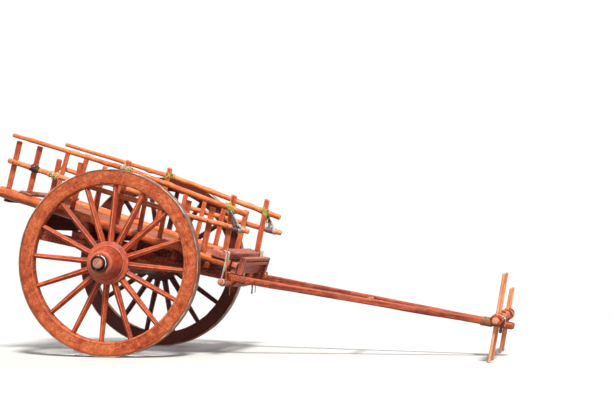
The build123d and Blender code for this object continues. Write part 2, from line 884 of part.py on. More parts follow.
def foot_plank(index, gap=0.0):
    """Crosswise plank for the feet, tenoned into the posts. The first is the upper one."""
    top = post_top_z - index * foot_plank_pitch
    half = pole_spread - post_width / 2 + foot_plank_tenon
    return block(
        (post_x - foot_plank_depth / 2 - gap, post_x + foot_plank_depth / 2 + gap),
        (-half - gap, half + gap),
        (top - foot_plank_thickness - gap, top + gap),
    )


def foot_post():
    """Left post that stands on the draught pole and holds the foot planks."""
    rear = post_x - post_length / 2
    front = post_x + post_length / 2
    outline = [
        (rear, pole_top_z(rear)),
        (front, pole_top_z(front)),
        (front, post_top_z),
        (rear, post_top_z),
    ]
    post = side_prism(outline, pole_spread - post_width / 2, pole_spread + post_width / 2)
    return post - foot_plank(0, seat_gap) - foot_plank(1, seat_gap)


def front_log():
    """Bowed branch lashed under the poles, its ends higher than its middle."""
    half = rail_y + log_overhang
    at_pole = ((pole_spread + pole_width_rear / 2) / half) ** 2
    rise = pole_bottom_z(pole_bend_x) - pole_bottom_z(pole_taper_x)
    slope = math.atan2(rise, pole_bend_x - pole_taper_x)
    x = log_x + log_bow * (0.5 - at_pole)
    z = pole_bottom_z(x) - (log_radius + seat_gap) / math.cos(slope) - log_sag * at_pole
    end_x = log_x - log_bow / 2
    path = ThreePointArc(
        (end_x, -half, z + log_sag), (log_x + log_bow / 2, 0, z), (end_x, half, z + log_sag)
    )
    return bent_rod(path, log_radius, rack_pole_chamfer)


def frame_pieces():
    """Every piece of the cart but the wheels and the yoke, by name, in the cart frame."""
    pole = draught_pole()
    rail = mortised_rail()
    stakes_left = stake_set()
    pin = linchpin()
    post = foot_post()
    pieces = {
        "axle": axle(),
        "linchpin_left": pin,
        "linchpin_right": mirrored(pin),
        "draught_pole_left": pole,
        "draught_pole_right": mirrored(pole),
        "pole_pegs": pegs(),
        "pole_spreader": spreader(),
        "nose_block": nose_block(),
        "king_peg": king_peg(),
        "bolster": cross_beam(bolster_x, bolster_length),
        "cross_beams": group(cross_beam(*row) for row in cross_beams),
        "tail_beam": tail_beam(),
        "side_rail_left": rail,
        "side_rail_right": mirrored(rail),
        "floor_boards": floor_boards(),
        "stakes_left": stakes_left,
        "stakes_right": mirrored(stakes_left),
        "rear_plank": over_rails(rear_plank_x, rear_plank_size, rear_plank_overhang),
        "front_sill": over_rails(sill_x, sill_size, sill_overhang, sill_chamfer),
        "front_bearer": front_bearer(),
        "foot_posts": group([post, mirrored(post)]),
        "foot_planks": group([foot_plank(0), foot_plank(1)]),
        "front_log": front_log(),
    }
    for name, *ends in rack_poles:
        pole_piece = rack_pole(*ends)
        pieces[name + "_left"] = pole_piece
        pieces[name + "_right"] = mirrored(pole_piece)
    return pieces


def yoke_pieces():
    return {
        "yoke_beam": yoke_beam(),
        "yoke_pins_left": yoke_pin_set(1),
        "yoke_pins_right": yoke_pin_set(-1),
    }


def wheel_pieces(side_name, phase):
    """One wheel about its own centre; the right one is the left one's mirror image."""
    pieces = {
        "tyre_" + side_name: tyre(),
        "felloes_" + side_name: felloes(phase),
        "spokes_" + side_name: spokes(phase),
        "hub_" + side_name: hub(phase),
        "hub_box_" + side_name: hub_box(),
    }
    if side_name == "right":
        return {name: mirrored(piece) for name, piece in pieces.items()}
    return pieces


# Whole cart about the axle's centre, then moved onto the ground with its box centred
tip = Rot(0, park_tip, 0)
cart = {name: tip * piece for name, piece in {**frame_pieces(), **yoke_pieces()}.items()}
for side_name, side, phase in (("left", 1, left_wheel_phase), ("right", -1, right_wheel_phase)):
    for name, piece in wheel_pieces(side_name, phase).items():
        cart[name] = Pos(0, side * track / 2, 0) * piece
boxes = [piece.bounding_box() for piece in cart.values()]
low_x = min(box.min.X for box in boxes)
high_x = max(box.max.X for box in boxes)
axle_x = -(low_x + high_x) / 2
ground = Pos(axle_x, 0, wheel_radius)

os.makedirs("parts", exist_ok=True)
for name, piece in cart.items():
    export_step(ground * piece, "parts/" + name + ".step")
print("tip", round(park_tip, 3), "axle x", round(axle_x, 2), "length", round(high_x - low_x, 1))
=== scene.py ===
"""Looks of the two-wheeled bullock cart: worn timber, iron, rope lashings, nails, camera and studio."""

import json
import math
from functools import cache

import bpy
import numpy as np
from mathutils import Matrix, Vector
from mathutils.bvhtree import BVHTree


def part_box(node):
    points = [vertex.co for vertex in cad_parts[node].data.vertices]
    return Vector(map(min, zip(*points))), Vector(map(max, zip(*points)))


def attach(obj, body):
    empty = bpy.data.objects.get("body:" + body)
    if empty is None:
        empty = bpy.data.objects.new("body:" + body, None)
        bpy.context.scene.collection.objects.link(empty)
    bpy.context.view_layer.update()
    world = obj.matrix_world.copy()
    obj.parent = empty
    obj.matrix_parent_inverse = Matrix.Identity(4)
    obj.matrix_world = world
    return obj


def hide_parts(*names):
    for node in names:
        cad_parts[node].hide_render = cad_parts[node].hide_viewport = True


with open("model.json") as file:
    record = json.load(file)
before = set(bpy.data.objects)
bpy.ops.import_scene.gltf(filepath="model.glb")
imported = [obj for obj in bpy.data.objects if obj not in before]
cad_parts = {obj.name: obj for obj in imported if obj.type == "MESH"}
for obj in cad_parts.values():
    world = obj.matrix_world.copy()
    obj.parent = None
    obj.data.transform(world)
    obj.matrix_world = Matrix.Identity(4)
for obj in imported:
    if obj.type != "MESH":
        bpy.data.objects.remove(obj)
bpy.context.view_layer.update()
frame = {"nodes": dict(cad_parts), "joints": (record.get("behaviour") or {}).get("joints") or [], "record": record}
nodes = frame["nodes"]
joints = {joint["name"]: joint for joint in frame["joints"]}
bodies = frame["record"]["behaviour"]["bodies"]
body_of = {node: body for body, members in bodies.items() for node in members}

# Places, in metres: the axle's centre, and how far the body is tipped about it
NOSE_SLOPE = math.radians(7.3)
AXLE = Vector(joints["wheel_left_spin"]["pos_m"])
HALF_TRACK = AXLE.y
AXLE.y = 0
SWIVEL = Vector(joints["yoke_swivel"]["pos_m"])
SWIVEL_AXIS = Vector(joints["yoke_swivel"]["axis"])
TIP = math.atan2(SWIVEL_AXIS.x, SWIVEL_AXIS.z) + NOSE_SLOPE
SIDES = (("right", -1), ("left", 1))


def cart(x, y, z):
    """A point of the level cart, in millimetres from the axle's centre, where it is when parked."""
    turned = (x * math.cos(TIP) + z * math.sin(TIP), y, z * math.cos(TIP) - x * math.sin(TIP))
    return np.array(AXLE) + np.array(turned) / 1000


def cart_way(x, y, z):
    return cart(x, y, z) - cart(0, 0, 0)


def yoke(x, y, z):
    """A point of the yoke, in millimetres from its centre, Z along its pins."""
    across = Vector((SWIVEL_AXIS.z, 0, -SWIVEL_AXIS.x))
    return np.array(SWIVEL + across * (x / 1000) + SWIVEL_AXIS * (z / 1000)) + np.array((0, y / 1000, 0))


# Directions
def unit(vector):
    return np.asarray(vector, float) / np.linalg.norm(vector)


def unit_rows(rows):
    return rows / np.maximum(np.linalg.norm(rows, axis=1, keepdims=True), 1e-12)


def even_turns(count):
    return np.arange(count) * 2 * math.pi / count


def ways_at(turns, first, second):
    """Ways at some turns, from two directions square to each other."""
    return np.cos(turns)[:, None] * first + np.sin(turns)[:, None] * second


# Noise that is the same each run: how a cell's place and the seed are mixed
CELL_KEYS = np.array([73856093, 19349663, 83492791])
SEED_KEY = 2654435
MIXES = ((13, 1274126177), (11, 668265263))


def noise(points, seed):
    """Smooth noise from -1 to 1 at each row of points, with cells of one unit."""
    points = np.asarray(points, float)
    cell = np.floor(points).astype(np.int64)
    part = points - cell
    part = part * part * (3 - 2 * part)
    total = np.zeros(len(points))
    for corner in range(8):
        step = np.array([corner & 1, (corner >> 1) & 1, (corner >> 2) & 1])
        key = (cell + step) @ CELL_KEYS + seed * SEED_KEY
        for shift, factor in MIXES:
            key = (key ^ (key >> shift)) * factor & 0x7FFFFFFF
        value = ((key >> 7) & 0xFFFF) / 32767.5 - 1
        total += value * np.prod(np.where(step == 1, part, 1 - part), axis=1)
    return total


def rough_noise(points, seed):
    """Noise with a second, finer layer of half the height."""
    return noise(points, seed) + 0.5 * noise(points * 2, seed + 17)


# Meshes from arrays, in triangles or quads
def mesh_of(name, points, faces):
    mesh = bpy.data.meshes.new(name)
    mesh.from_pydata(points, [], faces)
    return mesh


def placed(name, data):
    """A new object in the scene."""
    obj = bpy.data.objects.new(name, data)
    bpy.context.scene.collection.objects.link(obj)
    return obj


def vertex_normals(points, faces):
    """Mean normal at each point."""
    normals = np.zeros_like(points)
    for face_size in (3, 4):
        chosen = np.array([face for face in faces if len(face) == face_size], dtype=int)
        if len(chosen):
            a, b, c, d = (points[chosen[:, corner]] for corner in (0, 1, 2, -1))
            ways = np.cross(c - a, d - b)
            for corner in range(face_size):
                np.add.at(normals, chosen[:, corner], ways)
    return unit_rows(normals)


def sharpness(points, faces, normals):
    """How far each point stands proud of its neighbours: above 0 on an edge, below 0 in a dent."""
    pairs = set()
    for face in faces:
        for start, end in zip(face, face[1:] + face[:1]):
            pairs.add((start, end) if start < end else (end, start))
    pairs = np.array(sorted(pairs), dtype=int)
    start, end = np.vstack([pairs, pairs[:, ::-1]]).T
    count = np.maximum(np.bincount(start, minlength=len(points)), 1)
    proud = np.einsum("ij,ij->i", normals[start], unit_rows(points[start] - points[end]))
    value = np.bincount(start, proud, len(points)) / count
    for _ in range(2):
        value = 0.4 * value + 0.6 * np.bincount(start, value[end], len(points)) / count
    return value


def node_solids(node):
    """Points and triangles of each separate solid of a CAD node."""
    mesh = nodes[node].data
    points = np.empty(len(mesh.vertices) * 3)
    mesh.vertices.foreach_get("co", points)
    mesh.calc_loop_triangles()
    triangles = np.empty(len(mesh.loop_triangles) * 3, dtype=int)
    mesh.loop_triangles.foreach_get("vertices", triangles)
    keys, index = np.unique(np.round(points.reshape(-1, 3) * 1e5), axis=0, return_inverse=True)
    triangles = index.reshape(-1)[triangles].reshape(-1, 3)
    label = np.arange(len(keys))
    while True:
        lowest = label[triangles].min(axis=1)
        after = label.copy()
        np.minimum.at(after, triangles.ravel(), np.repeat(lowest, 3))
        after = after[after]
        if (after == label).all():
            break
        label = after
    found = []
    for number in np.unique(label[triangles[:, 0]]):
        chosen = triangles[label[triangles[:, 0]] == number]
        used, renumbered = np.unique(chosen, return_inverse=True)
        found.append((keys[used] / 1e5, renumbered.reshape(-1, 3)))
    return found


def remeshed(points, faces, voxel, along):
    """The same solid in even small quads that lie along its length, its edges eased."""
    centre, axes = grain_axes(points, along)
    mesh = mesh_of("work", ((points - centre) @ axes.T).tolist(), faces.tolist())
    work = placed("work", mesh)
    voxels = work.modifiers.new("voxels", "REMESH")
    voxels.mode = "VOXEL"
    voxels.voxel_size = voxel
    ease = work.modifiers.new("ease", "SMOOTH")
    ease.factor = 0.5
    ease.iterations = 2
    made = bpy.data.meshes.new_from_object(work.evaluated_get(bpy.context.evaluated_depsgraph_get()))
    result = np.empty(len(made.vertices) * 3)
    made.vertices.foreach_get("co", result)
    quads = [list(polygon.vertices) for polygon in made.polygons]
    bpy.data.objects.remove(work)
    bpy.data.meshes.remove(mesh)
    bpy.data.meshes.remove(made)
    return result.reshape(-1, 3) @ axes + centre, quads


def swept(rings, closed=False):
    """Solid through rings of equally many points, with both ends closed unless the rings form a loop."""
    count = len(rings[0])
    points = np.concatenate(rings)
    faces = []
    for ring in range(len(rings) if closed else len(rings) - 1):
        start, after = ring * count, (ring + 1) % len(rings) * count
        for step in range(count):
            ahead = (step + 1) % count
            faces.append([start + step, start + ahead, after + ahead, after + step])
    if not closed:
        for start, turn in ((0, -1), ((len(rings) - 1) * count, 1)):
            middle = len(points)
            points = np.vstack([points, points[start : start + count].mean(axis=0)])
            for step in range(count):
                pair = [start + step, start + (step + 1) % count]
                faces.append([middle] + pair[::turn])
    a, b, c, d = (points[[face[corner] for face in faces]] for corner in (0, 1, 2, -1))
    volume = np.einsum("ij,ij->i", a - points.mean(axis=0), np.cross(c - a, d - b)).sum()
    return points, faces if volume > 0 else [face[::-1] for face in faces]


ROUNDING = (0, 0.33, 0.67, 1)   # shares of the way round a corner
BESIDE = 0.003                  # from a corner to the next point on the flat, so that wear stays at the edge


def outline(rows, gap=0.012):
    """Closed outline from rows of (x, y, corner radius, wear), and the wear at each of its points; a wear below 0
    paints shade in a groove.
    """
    corners = np.array([row[:2] for row in rows], float)
    points, wear = [], []
    for index, (_x, _y, radius, worn) in enumerate(rows):
        corner = corners[index]
        ahead = (index + 1) % len(rows)
        before = corners[index - 1] - corner
        after = corners[ahead] - corner
        reach = min(radius, 0.45 * np.linalg.norm(before), 0.45 * np.linalg.norm(after))
        start = corner + unit(before) * reach
        end = corner + unit(after) * reach
        for share in ROUNDING if radius else (0,):
            points.append((1 - share) ** 2 * start + 2 * share * (1 - share) * corner + share**2 * end)
            wear.append(worn)
        run = corners[ahead] - unit(after) * rows[ahead][2] - points[-1]
        length = np.linalg.norm(run)
        places = list(np.linspace(0, 1, max(1, int(length / gap)) + 1)[1:-1])
        if length > 3 * BESIDE:
            places += [BESIDE / length, 1 - BESIDE / length]
        points += [points[-1] + run * place for place in sorted(places)]
        wear += [0.0] * len(places)
    return np.array(points), np.array(wear)


# Where the imported pieces are, so that colour darkens near where they touch
node_boxes = {}
for node in nodes:
    low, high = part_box(node)
    node_boxes[node] = (np.array(low), np.array(high))
CONTACT_DARK_REACH = 0.016


@cache
def node_tree(node):
    mesh = nodes[node].data
    mesh.calc_loop_triangles()
    triangles = [tuple(triangle.vertices) for triangle in mesh.loop_triangles]
    return BVHTree.FromPolygons([tuple(vertex.co) for vertex in mesh.vertices], triangles)


def closeness(points, own_node):
    """1 where a point touches another piece, 0 from CONTACT_DARK_REACH away."""
    near = np.zeros(len(points))
    low, high = points.min(axis=0) - CONTACT_DARK_REACH, points.max(axis=0) + CONTACT_DARK_REACH
    for node, (node_low, node_high) in node_boxes.items():
        if node == own_node or (node_low > high).any() or (node_high < low).any():
            continue
        inside = ((points > node_low - CONTACT_DARK_REACH) & (points < node_high + CONTACT_DARK_REACH)).all(axis=1)
        for index in np.nonzero(inside)[0]:
            distance = node_tree(node).find_nearest(Vector(points[index]), CONTACT_DARK_REACH)[3]
            if distance is not None:
                near[index] = max(near[index], 1 - distance / CONTACT_DARK_REACH)
    return near


# Timber: grain follows each solid's length, and wear comes from the solid's own shape
def grain_axes(points, along=None):
    """Centre of a solid and its axes as rows, the first along the grain."""
    centre = (points.min(axis=0) + points.max(axis=0)) / 2
    if along is None:
        along = np.linalg.eigh(np.cov((points - points.mean(axis=0)).T))[1][:, 2]
        along = along * (1 if along[np.abs(along).argmax()] > 0 else -1)
    along = unit(along)
    side = unit(np.cross(along, (0, 0, 1) if abs(along[2]) < 0.8 else (0, 1, 0)))
    return centre, np.array([along, side, np.cross(along, side)])


# How far a timber's pith is from its middle: any way along the grain, little across it
PITH_REACH = np.array([20, 0.03, 0.03])
# Cells of noise in a metre, along the grain and across it
SWELLS_ACROSS = 16
TOOL_MARKS = (30, 90, 90)
BENDS_ALONG = 2
# A knot is a swelling with a dent in its middle, drawn out along the grain: height and spread, in metres
KNOT_SWELLING, KNOT_SPREAD = 0.006, 0.02
KNOT_DENT, DENT_SPREAD = 0.003, 0.008
KNOT_STRETCH = (0.7, 1, 1)
# What sharpness is multiplied by, so that a timber's arris reads about 1
EDGE_GAIN = 5
# A wheel's dust starts this far from its centre, and is full that much further out
DUST_FROM, DUST_REACH = 0.2, 0.5
shown = {}


class Piece:
    """Gathers the parts of one piece that rides on a body."""

    def __init__(self, name, body):
        self.name, self.body = name, body
        self.points, self.faces, self.count = [], [], 0

    def gather(self, points, faces):
        self.points.append(points)
        self.faces += [[corner + self.count for corner in face] for face in faces]
        self.count += len(points)


class Worn(Piece):
    """A piece that stands for a CAD node, with what its material reads at each point."""

    def __init__(self, name, node, seed=0):
        super().__init__(name, body_of[node])
        self.node, self.seed = node, seed
        self.grain, self.tint, self.edge, self.end = [], [], [], []

    def add(self, points, faces, along, tool, wave=0.0, wave_length=0.1, bend=0.0, knots=0, inward=True,
            wear=None):
        """tool, wave and bend are metres: hewing marks, slow swelling and crookedness."""
        seed = self.seed * 31 + len(self.points) * 7
        centre, axes = grain_axes(points, along)
        local = (points - centre) @ axes.T
        normals = vertex_normals(points, faces)
        shift = np.zeros(len(points))
        if wave:
            swells = local * [1 / wave_length, SWELLS_ACROSS, SWELLS_ACROSS]
            shift += wave * rough_noise(swells + seed * 3.7, seed)
        shift += tool * rough_noise(local * TOOL_MARKS + seed * 1.3, seed + 5)
        length = local[:, 0].max() - local[:, 0].min()
        reach = np.abs(local[:, 1:]).max()
        for share, turn in np.random.default_rng(seed).uniform(-0.45, 0.45, (knots, 2)):
            spot = np.array([share * length, math.cos(turn * 7) * reach, math.sin(turn * 7) * reach])
            away = np.linalg.norm((local - spot) * KNOT_STRETCH, axis=1)
            swelling = KNOT_SWELLING * np.exp(-((away / KNOT_SPREAD) ** 2))
            shift += swelling - KNOT_DENT * np.exp(-((away / DENT_SPREAD) ** 2))
        if inward:
            shift = np.minimum(shift - 0.5 * (wave + tool), 0)
        moved = points + normals * shift[:, None]
        if bend:
            still = np.zeros(len(points))
            slow = np.column_stack([local[:, 0] * BENDS_ALONG, still + seed * 0.37, still])
            for axis, layer in ((axes[1], 2), (axes[2], 3)):
                moved += bend * noise(slow, seed + layer)[:, None] * axis
        normals = vertex_normals(moved, faces)
        chance = np.random.default_rng(seed + 1)
        self.gather(moved, faces)
        self.grain.append(local + chance.uniform(-1, 1, 3) * PITH_REACH)
        self.tint.append(np.full(len(points), chance.uniform(0, 1)))
        self.edge.append(sharpness(moved, faces, normals) * EDGE_GAIN if wear is None else wear)
        self.end.append(np.clip(np.abs(normals @ axes[0]) * 4 - 3, 0, 1))

    def finish(self, material, sharp=None, dust=None):
        """Dust lies on upward faces, or on a wheel's rim; painted shade lies below, or on a wheel's inner side."""
        points = np.concatenate(self.points)
        normals = vertex_normals(points, self.faces)
        if self.body.startswith("wheel"):
            outward = 1 if self.body.endswith("left") else -1
            away = np.linalg.norm(points[:, [0, 2]] - [AXLE.x, AXLE.z], axis=1)
            dust = np.clip((away - DUST_FROM) / DUST_REACH, 0, 1) if dust is None else dust(normals)
            # Painted shade: a wheel's inner side is made darker
            shade = np.clip(-outward * normals[:, 1] * 1.6, 0, 1)
        else:
            dust = np.clip(normals[:, 2], 0, 1)
            # Painted shade: faces that look down are made darker
            shade = np.clip(-normals[:, 2] - 0.3, 0, 0.6)
        values = {
            "tint": np.concatenate(self.tint),
            "edge": np.clip(np.concatenate(self.edge), -1, 1),
            "end": np.concatenate(self.end),
            "contact_dark": closeness(points, self.node),
            "dust": dust,
            "shade": shade,
        }
        obj = new_piece(self.name, points, self.faces, material, self.body, sharp)
        for key, numbers in values.items():
            attribute = obj.data.attributes.new(key, "FLOAT", "POINT")
            attribute.data.foreach_set("value", numbers.astype(np.float32))
        attribute = obj.data.attributes.new("grain", "FLOAT_VECTOR", "POINT")
        attribute.data.foreach_set("vector", np.concatenate(self.grain).astype(np.float32).ravel())
        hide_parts(self.node)
        shown[self.node] = (self.points, self.faces)


def new_piece(name, points, faces, material, body, sharp=None):
    """A smooth mesh that rides on a body; sharp is the angle in degrees from which an edge stays sharp."""
    mesh = mesh_of(name, points.tolist(), faces)
    mesh.polygons.foreach_set("use_smooth", [True] * len(mesh.polygons))
    mesh.materials.append(material)
    obj = placed(name, mesh)
    if sharp:
        mesh.set_sharp_from_angle(angle=math.radians(sharp))
        facets = obj.modifiers.new("facets", "WEIGHTED_NORMAL")
        facets.keep_sharp = True
    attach(obj, body)
    return obj


# Materials, their colours as red, green and blue from 0 to 255 as seen
def linear(colour):
    values = [value / 255 for value in colour]
    return tuple(v / 12.92 if v <= 0.04045 else ((v + 0.055) / 1.055) ** 2.4 for v in values) + (1,)


def deeper(colour, share):
    return [value * share for value in colour]


class Shader:
    """Short ways to lay the nodes of a material or a world."""

    def __init__(self, block):
        self.block = block
        block.use_nodes = True
        self.tree = block.node_tree

    def node(self, kind, inputs, **settings):
        made = self.tree.nodes.new("ShaderNode" + kind)
        for key, value in settings.items():
            setattr(made, key, value)
        for key, value in inputs.items():
            self.put(made.inputs[key], value)
        return made

    def put(self, socket, value):
        if isinstance(value, bpy.types.NodeSocket):
            self.tree.links.new(value, socket)
        else:
            socket.default_value = value

    def read(self, name, kind="Fac"):
        return self.node("Attribute", {}, attribute_name=name).outputs[kind]

    def place(self):
        return self.node("TexCoord", {}).outputs["Object"]

    def scaled(self, vector, scale):
        return self.node("VectorMath", {0: vector, 1: scale}, operation="MULTIPLY").outputs[0]

    def noise(self, vector, scale=1.0, detail=4.0, rough=0.6, distortion=0.0):
        inputs = {"Vector": vector, "Scale": scale, "Detail": detail, "Roughness": rough,
                  "Distortion": distortion}
        return self.node("TexNoise", inputs).outputs["Fac"]

    def math(self, operation, first, second=0.0, clamp=False):
        return self.node("Math", {0: first, 1: second}, operation=operation, use_clamp=clamp).outputs[0]

    def plus(self, first, second, clamp=False):
        return self.math("ADD", first, second, clamp)

    def minus(self, first, second):
        return self.math("SUBTRACT", first, second)

    def times(self, first, second):
        return self.math("MULTIPLY", first, second)

    def swing(self, value, amount):
        """A value from 0 to 1 as a step of up to half the amount either way."""
        return self.times(self.minus(value, 0.5), amount)

    def spread(self, value, low, high, to_low=0.0, to_high=1.0):
        inputs = {"Value": value, "From Min": low, "From Max": high, "To Min": to_low, "To Max": to_high}
        return self.node("MapRange", inputs).outputs[0]

    def ramp(self, value, stops):
        made = self.node("ValToRGB", {"Fac": value})
        band = made.color_ramp
        while len(band.elements) < len(stops):
            band.elements.new(0.5)
        for element, (place, colour) in zip(band.elements, stops):
            element.position = place
            element.color = linear(colour)
        return made.outputs["Color"]

    def mix(self, amount, first, second):
        made = self.node("Mix", {}, data_type="RGBA")
        self.put(made.inputs["Factor"], amount)
        self.put(made.inputs[6], first)
        self.put(made.inputs[7], second)
        return made.outputs[2]

    def set(self, **values):
        for key, value in values.items():
            self.put(self.tree.nodes["Principled BSDF"].inputs[key.replace("_", " ")], value)

    def bump(self, height, strength, distance):
        made = self.node("Bump", {"Height": height, "Strength": strength, "Distance": distance})
        self.set(Normal=made.outputs[0])

    def show(self, amount, first, second):
        """Send a mix of two surfaces to the output."""
        mixed = self.node("MixShader", {"Fac": amount, 1: first.outputs[0], 2: second.outputs[0]})
        output = next(node for node in self.tree.nodes if node.bl_idname.startswith("ShaderNodeOutput"))
        self.put(output.inputs["Surface"], mixed.outputs[0])

    def seen(self):
        """1 for what the camera, metal or glass sees, 0 for light that bounces."""
        path = self.node("LightPath", {}).outputs
        seen = self.math("MAXIMUM", path["Is Camera Ray"], path["Is Glossy Ray"])
        return self.math("MAXIMUM", seen, path["Is Transmission Ray"])


def new_material(name):
    return Shader(bpy.data.materials.new(name))


# How wood's patterns are scaled, along the grain and across it
STREAKS = (2.2, 55, 55)
FIBRES = (16, 420, 420)
RINGS = (0.12, 1, 1)
SPECKS = (0.5, 1, 1)
CRACKS = (1.3, 26, 26)
ROAD_DUST = (204, 112, 72)
# Painted shade: how the dark wood colour is tinted on undersides and on a wheel's inner side
PAINTED_SHADE_TINT = (0.6, 0.5, 0.8)
LOOKS = {}


def wood(name, dark, mid, light, dust=0.3, contact_dark=0.6, streak=1.0, gloss=0.55, worn=0.5, cracks=0.6,
         speckle=0.0, blotches=0.45, rings=0.25, specular=0.4, end=None, rubbed=None):
    """Oiled, dusty timber. Its grain, tint, edges, ends, darkening near contacts, painted shade and dust are read
    from the piece.
    """
    s = new_material(name + "_wood")
    grain = s.read("grain", "Vector")
    cut_end = s.read("end")
    long = s.noise(s.scaled(grain, STREAKS), detail=5, rough=0.62)
    fine = s.noise(s.scaled(grain, FIBRES), detail=3, rough=0.6)
    patch = s.noise(grain, scale=7, detail=5, rough=0.62, distortion=0.4)
    blotch = s.noise(grain, scale=26, detail=4, rough=0.65)
    wave_inputs = {"Vector": s.scaled(grain, RINGS), "Scale": 52.0, "Distortion": 5.0, "Detail": 3.0,
                   "Detail Scale": 1.4}
    wave = s.node("TexWave", wave_inputs, wave_type="RINGS", rings_direction="X").outputs["Fac"]
    ringed = s.spread(cut_end, 0, 1, rings, rings + 0.12)
    tone = s.swing(long, 1.1 * streak)
    for value, amount in ((patch, 0.9), (blotch, blotches), (wave, ringed), (fine, 0.35)):
        tone = s.plus(tone, s.swing(value, amount))
    tone = s.plus(tone, s.spread(s.read("tint"), 0, 1, -0.08 * streak, 0.08 * streak))
    if speckle:
        spots = s.noise(s.scaled(grain, SPECKS), scale=110, detail=4, rough=0.75)
        tone = s.plus(tone, s.swing(spots, speckle))
    tone = s.plus(tone, 0.5, clamp=True)
    colour = s.ramp(tone, [(0.12, dark), (0.5, mid), (0.86, light)])
    end_tones = [(0.2, deeper(end, 0.6)), (0.7, end)] if end else [(0.2, mid), (0.7, light)]
    colour = s.mix(s.times(cut_end, 0.8 if end else 0.6), colour, s.ramp(tone, end_tones))

    # Rubbed edges, painted shade in hollows and grooves, and dust that settles in patches
    edge = s.read("edge")
    wear = s.times(s.spread(edge, 0.12, 0.75), s.spread(blotch, 0.3, 0.6, 0.35, 1))
    rubbed = rubbed or [min(255, value * 1.06) for value in light]
    crease_shade = s.times(s.spread(edge, -0.05, -0.5), 0.7)
    settled = s.times(s.times(s.read("dust"), s.spread(patch, 0.38, 0.66)), dust)

    # Drying cracks in some places, then painted shade on undersides and a wheel's inner side, and darkening where
    # another piece touches
    line = s.minus(s.noise(s.scaled(grain, CRACKS), detail=2, rough=0.5), 0.5)
    line = s.spread(s.math("ABSOLUTE", line), 0.0, 0.012, 1, 0)
    line = s.times(line, s.spread(s.noise(grain, scale=4, detail=2), 0.5, 0.62))
    line = s.times(line, cracks)
    below = [value * share for value, share in zip(dark, PAINTED_SHADE_TINT)]
    touching = s.times(s.math("POWER", s.read("contact_dark"), 1.6), contact_dark)
    for amount, layer in ((s.times(wear, worn), rubbed), (crease_shade, deeper(dark, 0.35)), (settled, ROAD_DUST),
                          (line, deeper(dark, 0.3)), (s.times(s.read("shade"), 0.9), below),
                          (touching, deeper(dark, 0.45))):
        colour = s.mix(amount, colour, linear(layer))

    rough = s.spread(s.plus(patch, s.times(fine, 0.4)), 0.45, 0.95, gloss - 0.1, gloss + 0.22)
    rough = s.plus(rough, s.times(settled, 0.35), clamp=True)
    height = s.plus(s.times(fine, 0.4), s.times(long, 0.9))
    height = s.plus(height, s.times(blotch, 0.4))
    height = s.minus(height, s.times(line, 1.5))
    s.set(Base_Color=colour, Roughness=rough, Specular_IOR_Level=specular)
    s.bump(height, 0.5, 0.003)
    LOOKS[name] = s.block


def iron(name, dark, mid, bright, polish_and_glint=(232, 228, 222), shine=0.5, dust_colour=(190, 104, 62), dusty=0.3,
         attributes=True):
    """Wrought iron: rust and dried mud, rubbed bright along its worn edges; on the axle box that bright edge is a
    painted highlight.
    """
    s = new_material(name)
    place = s.place()
    patch = s.noise(place, scale=14, detail=6, rough=0.65)
    fine = s.noise(place, scale=120, detail=4, rough=0.7)
    rust = s.plus(s.times(patch, 0.7), s.times(fine, 0.3))
    colour = s.ramp(rust, [(0.32, dark), (0.52, mid), (0.68, bright)])
    powder = s.times(s.spread(s.noise(place, scale=6, detail=4), 0.36, 0.6), dusty)
    if attributes:
        powder = s.times(powder, s.read("dust"))
    colour = s.mix(powder, colour, linear(dust_colour))
    rough = s.spread(fine, 0.3, 0.7, 0.36, 0.7)
    metal = s.times(s.minus(1.0, powder), shine)
    if attributes:
        # Bright along worn edges: real wear on a tyre, a painted highlight on the axle box's mouth
        rubbed = s.times(s.spread(s.read("edge"), 0.3, 0.9), s.spread(patch, 0.3, 0.55, 0.4, 1))
        colour = s.mix(rubbed, colour, linear(polish_and_glint))
        rough = s.minus(rough, s.times(rubbed, 0.18))
    s.set(Base_Color=colour, Metallic=metal, Roughness=rough)
    s.bump(s.plus(fine, patch), 0.4, 0.0015)
    return s.block


def fibre(name, dark, light):
    """Twisted rope or straw: the piece's own strands carry the shape."""
    s = new_material(name)
    place = s.place()
    patch = s.noise(place, scale=30, detail=4)
    fine = s.noise(place, scale=700, detail=3, rough=0.7)
    colour = s.ramp(s.plus(s.times(patch, 0.6), s.times(fine, 0.4)), [(0.3, dark), (0.62, light)])
    s.set(Base_Color=colour, Roughness=0.9, Specular_IOR_Level=0.2)
    s.bump(fine, 0.7, 0.0012)
    return s.block


wood("wheel", (118, 38, 20), (194, 82, 40), (240, 142, 82), dust=0.4, speckle=1.25, blotches=1.1, streak=0.4,
     rings=0.08, cracks=0.25, rubbed=(236, 138, 90))
wood("spoke", (92, 26, 12), (170, 56, 22), (222, 100, 52), dust=0.1, worn=1.0, speckle=1.2,
     rubbed=(244, 144, 100))
wood("hub", (76, 20, 14), (180, 68, 40), (228, 116, 80), dust=0.1, gloss=0.3, streak=0.5, worn=0.8,
     rings=0.1, rubbed=(240, 150, 116))
wood("axle", (62, 22, 16), (108, 40, 26), (158, 74, 50), rings=0.1, contact_dark=0.3, end=(255, 186, 152))
wood("rail", (136, 50, 24), (222, 100, 42), (254, 164, 104), dust=0.35, gloss=0.36)
wood("rack_pole", (160, 62, 24), (230, 106, 38), (255, 170, 106), gloss=0.3, dust=0.2)
wood("middle_rail", (160, 66, 32), (234, 120, 60), (255, 182, 128), gloss=0.3, dust=0.2)
wood("stake", (120, 42, 26), (194, 82, 42), (238, 136, 84), dust=0.25, streak=0.75)
wood("draught", (72, 24, 18), (144, 58, 34), (204, 102, 70))
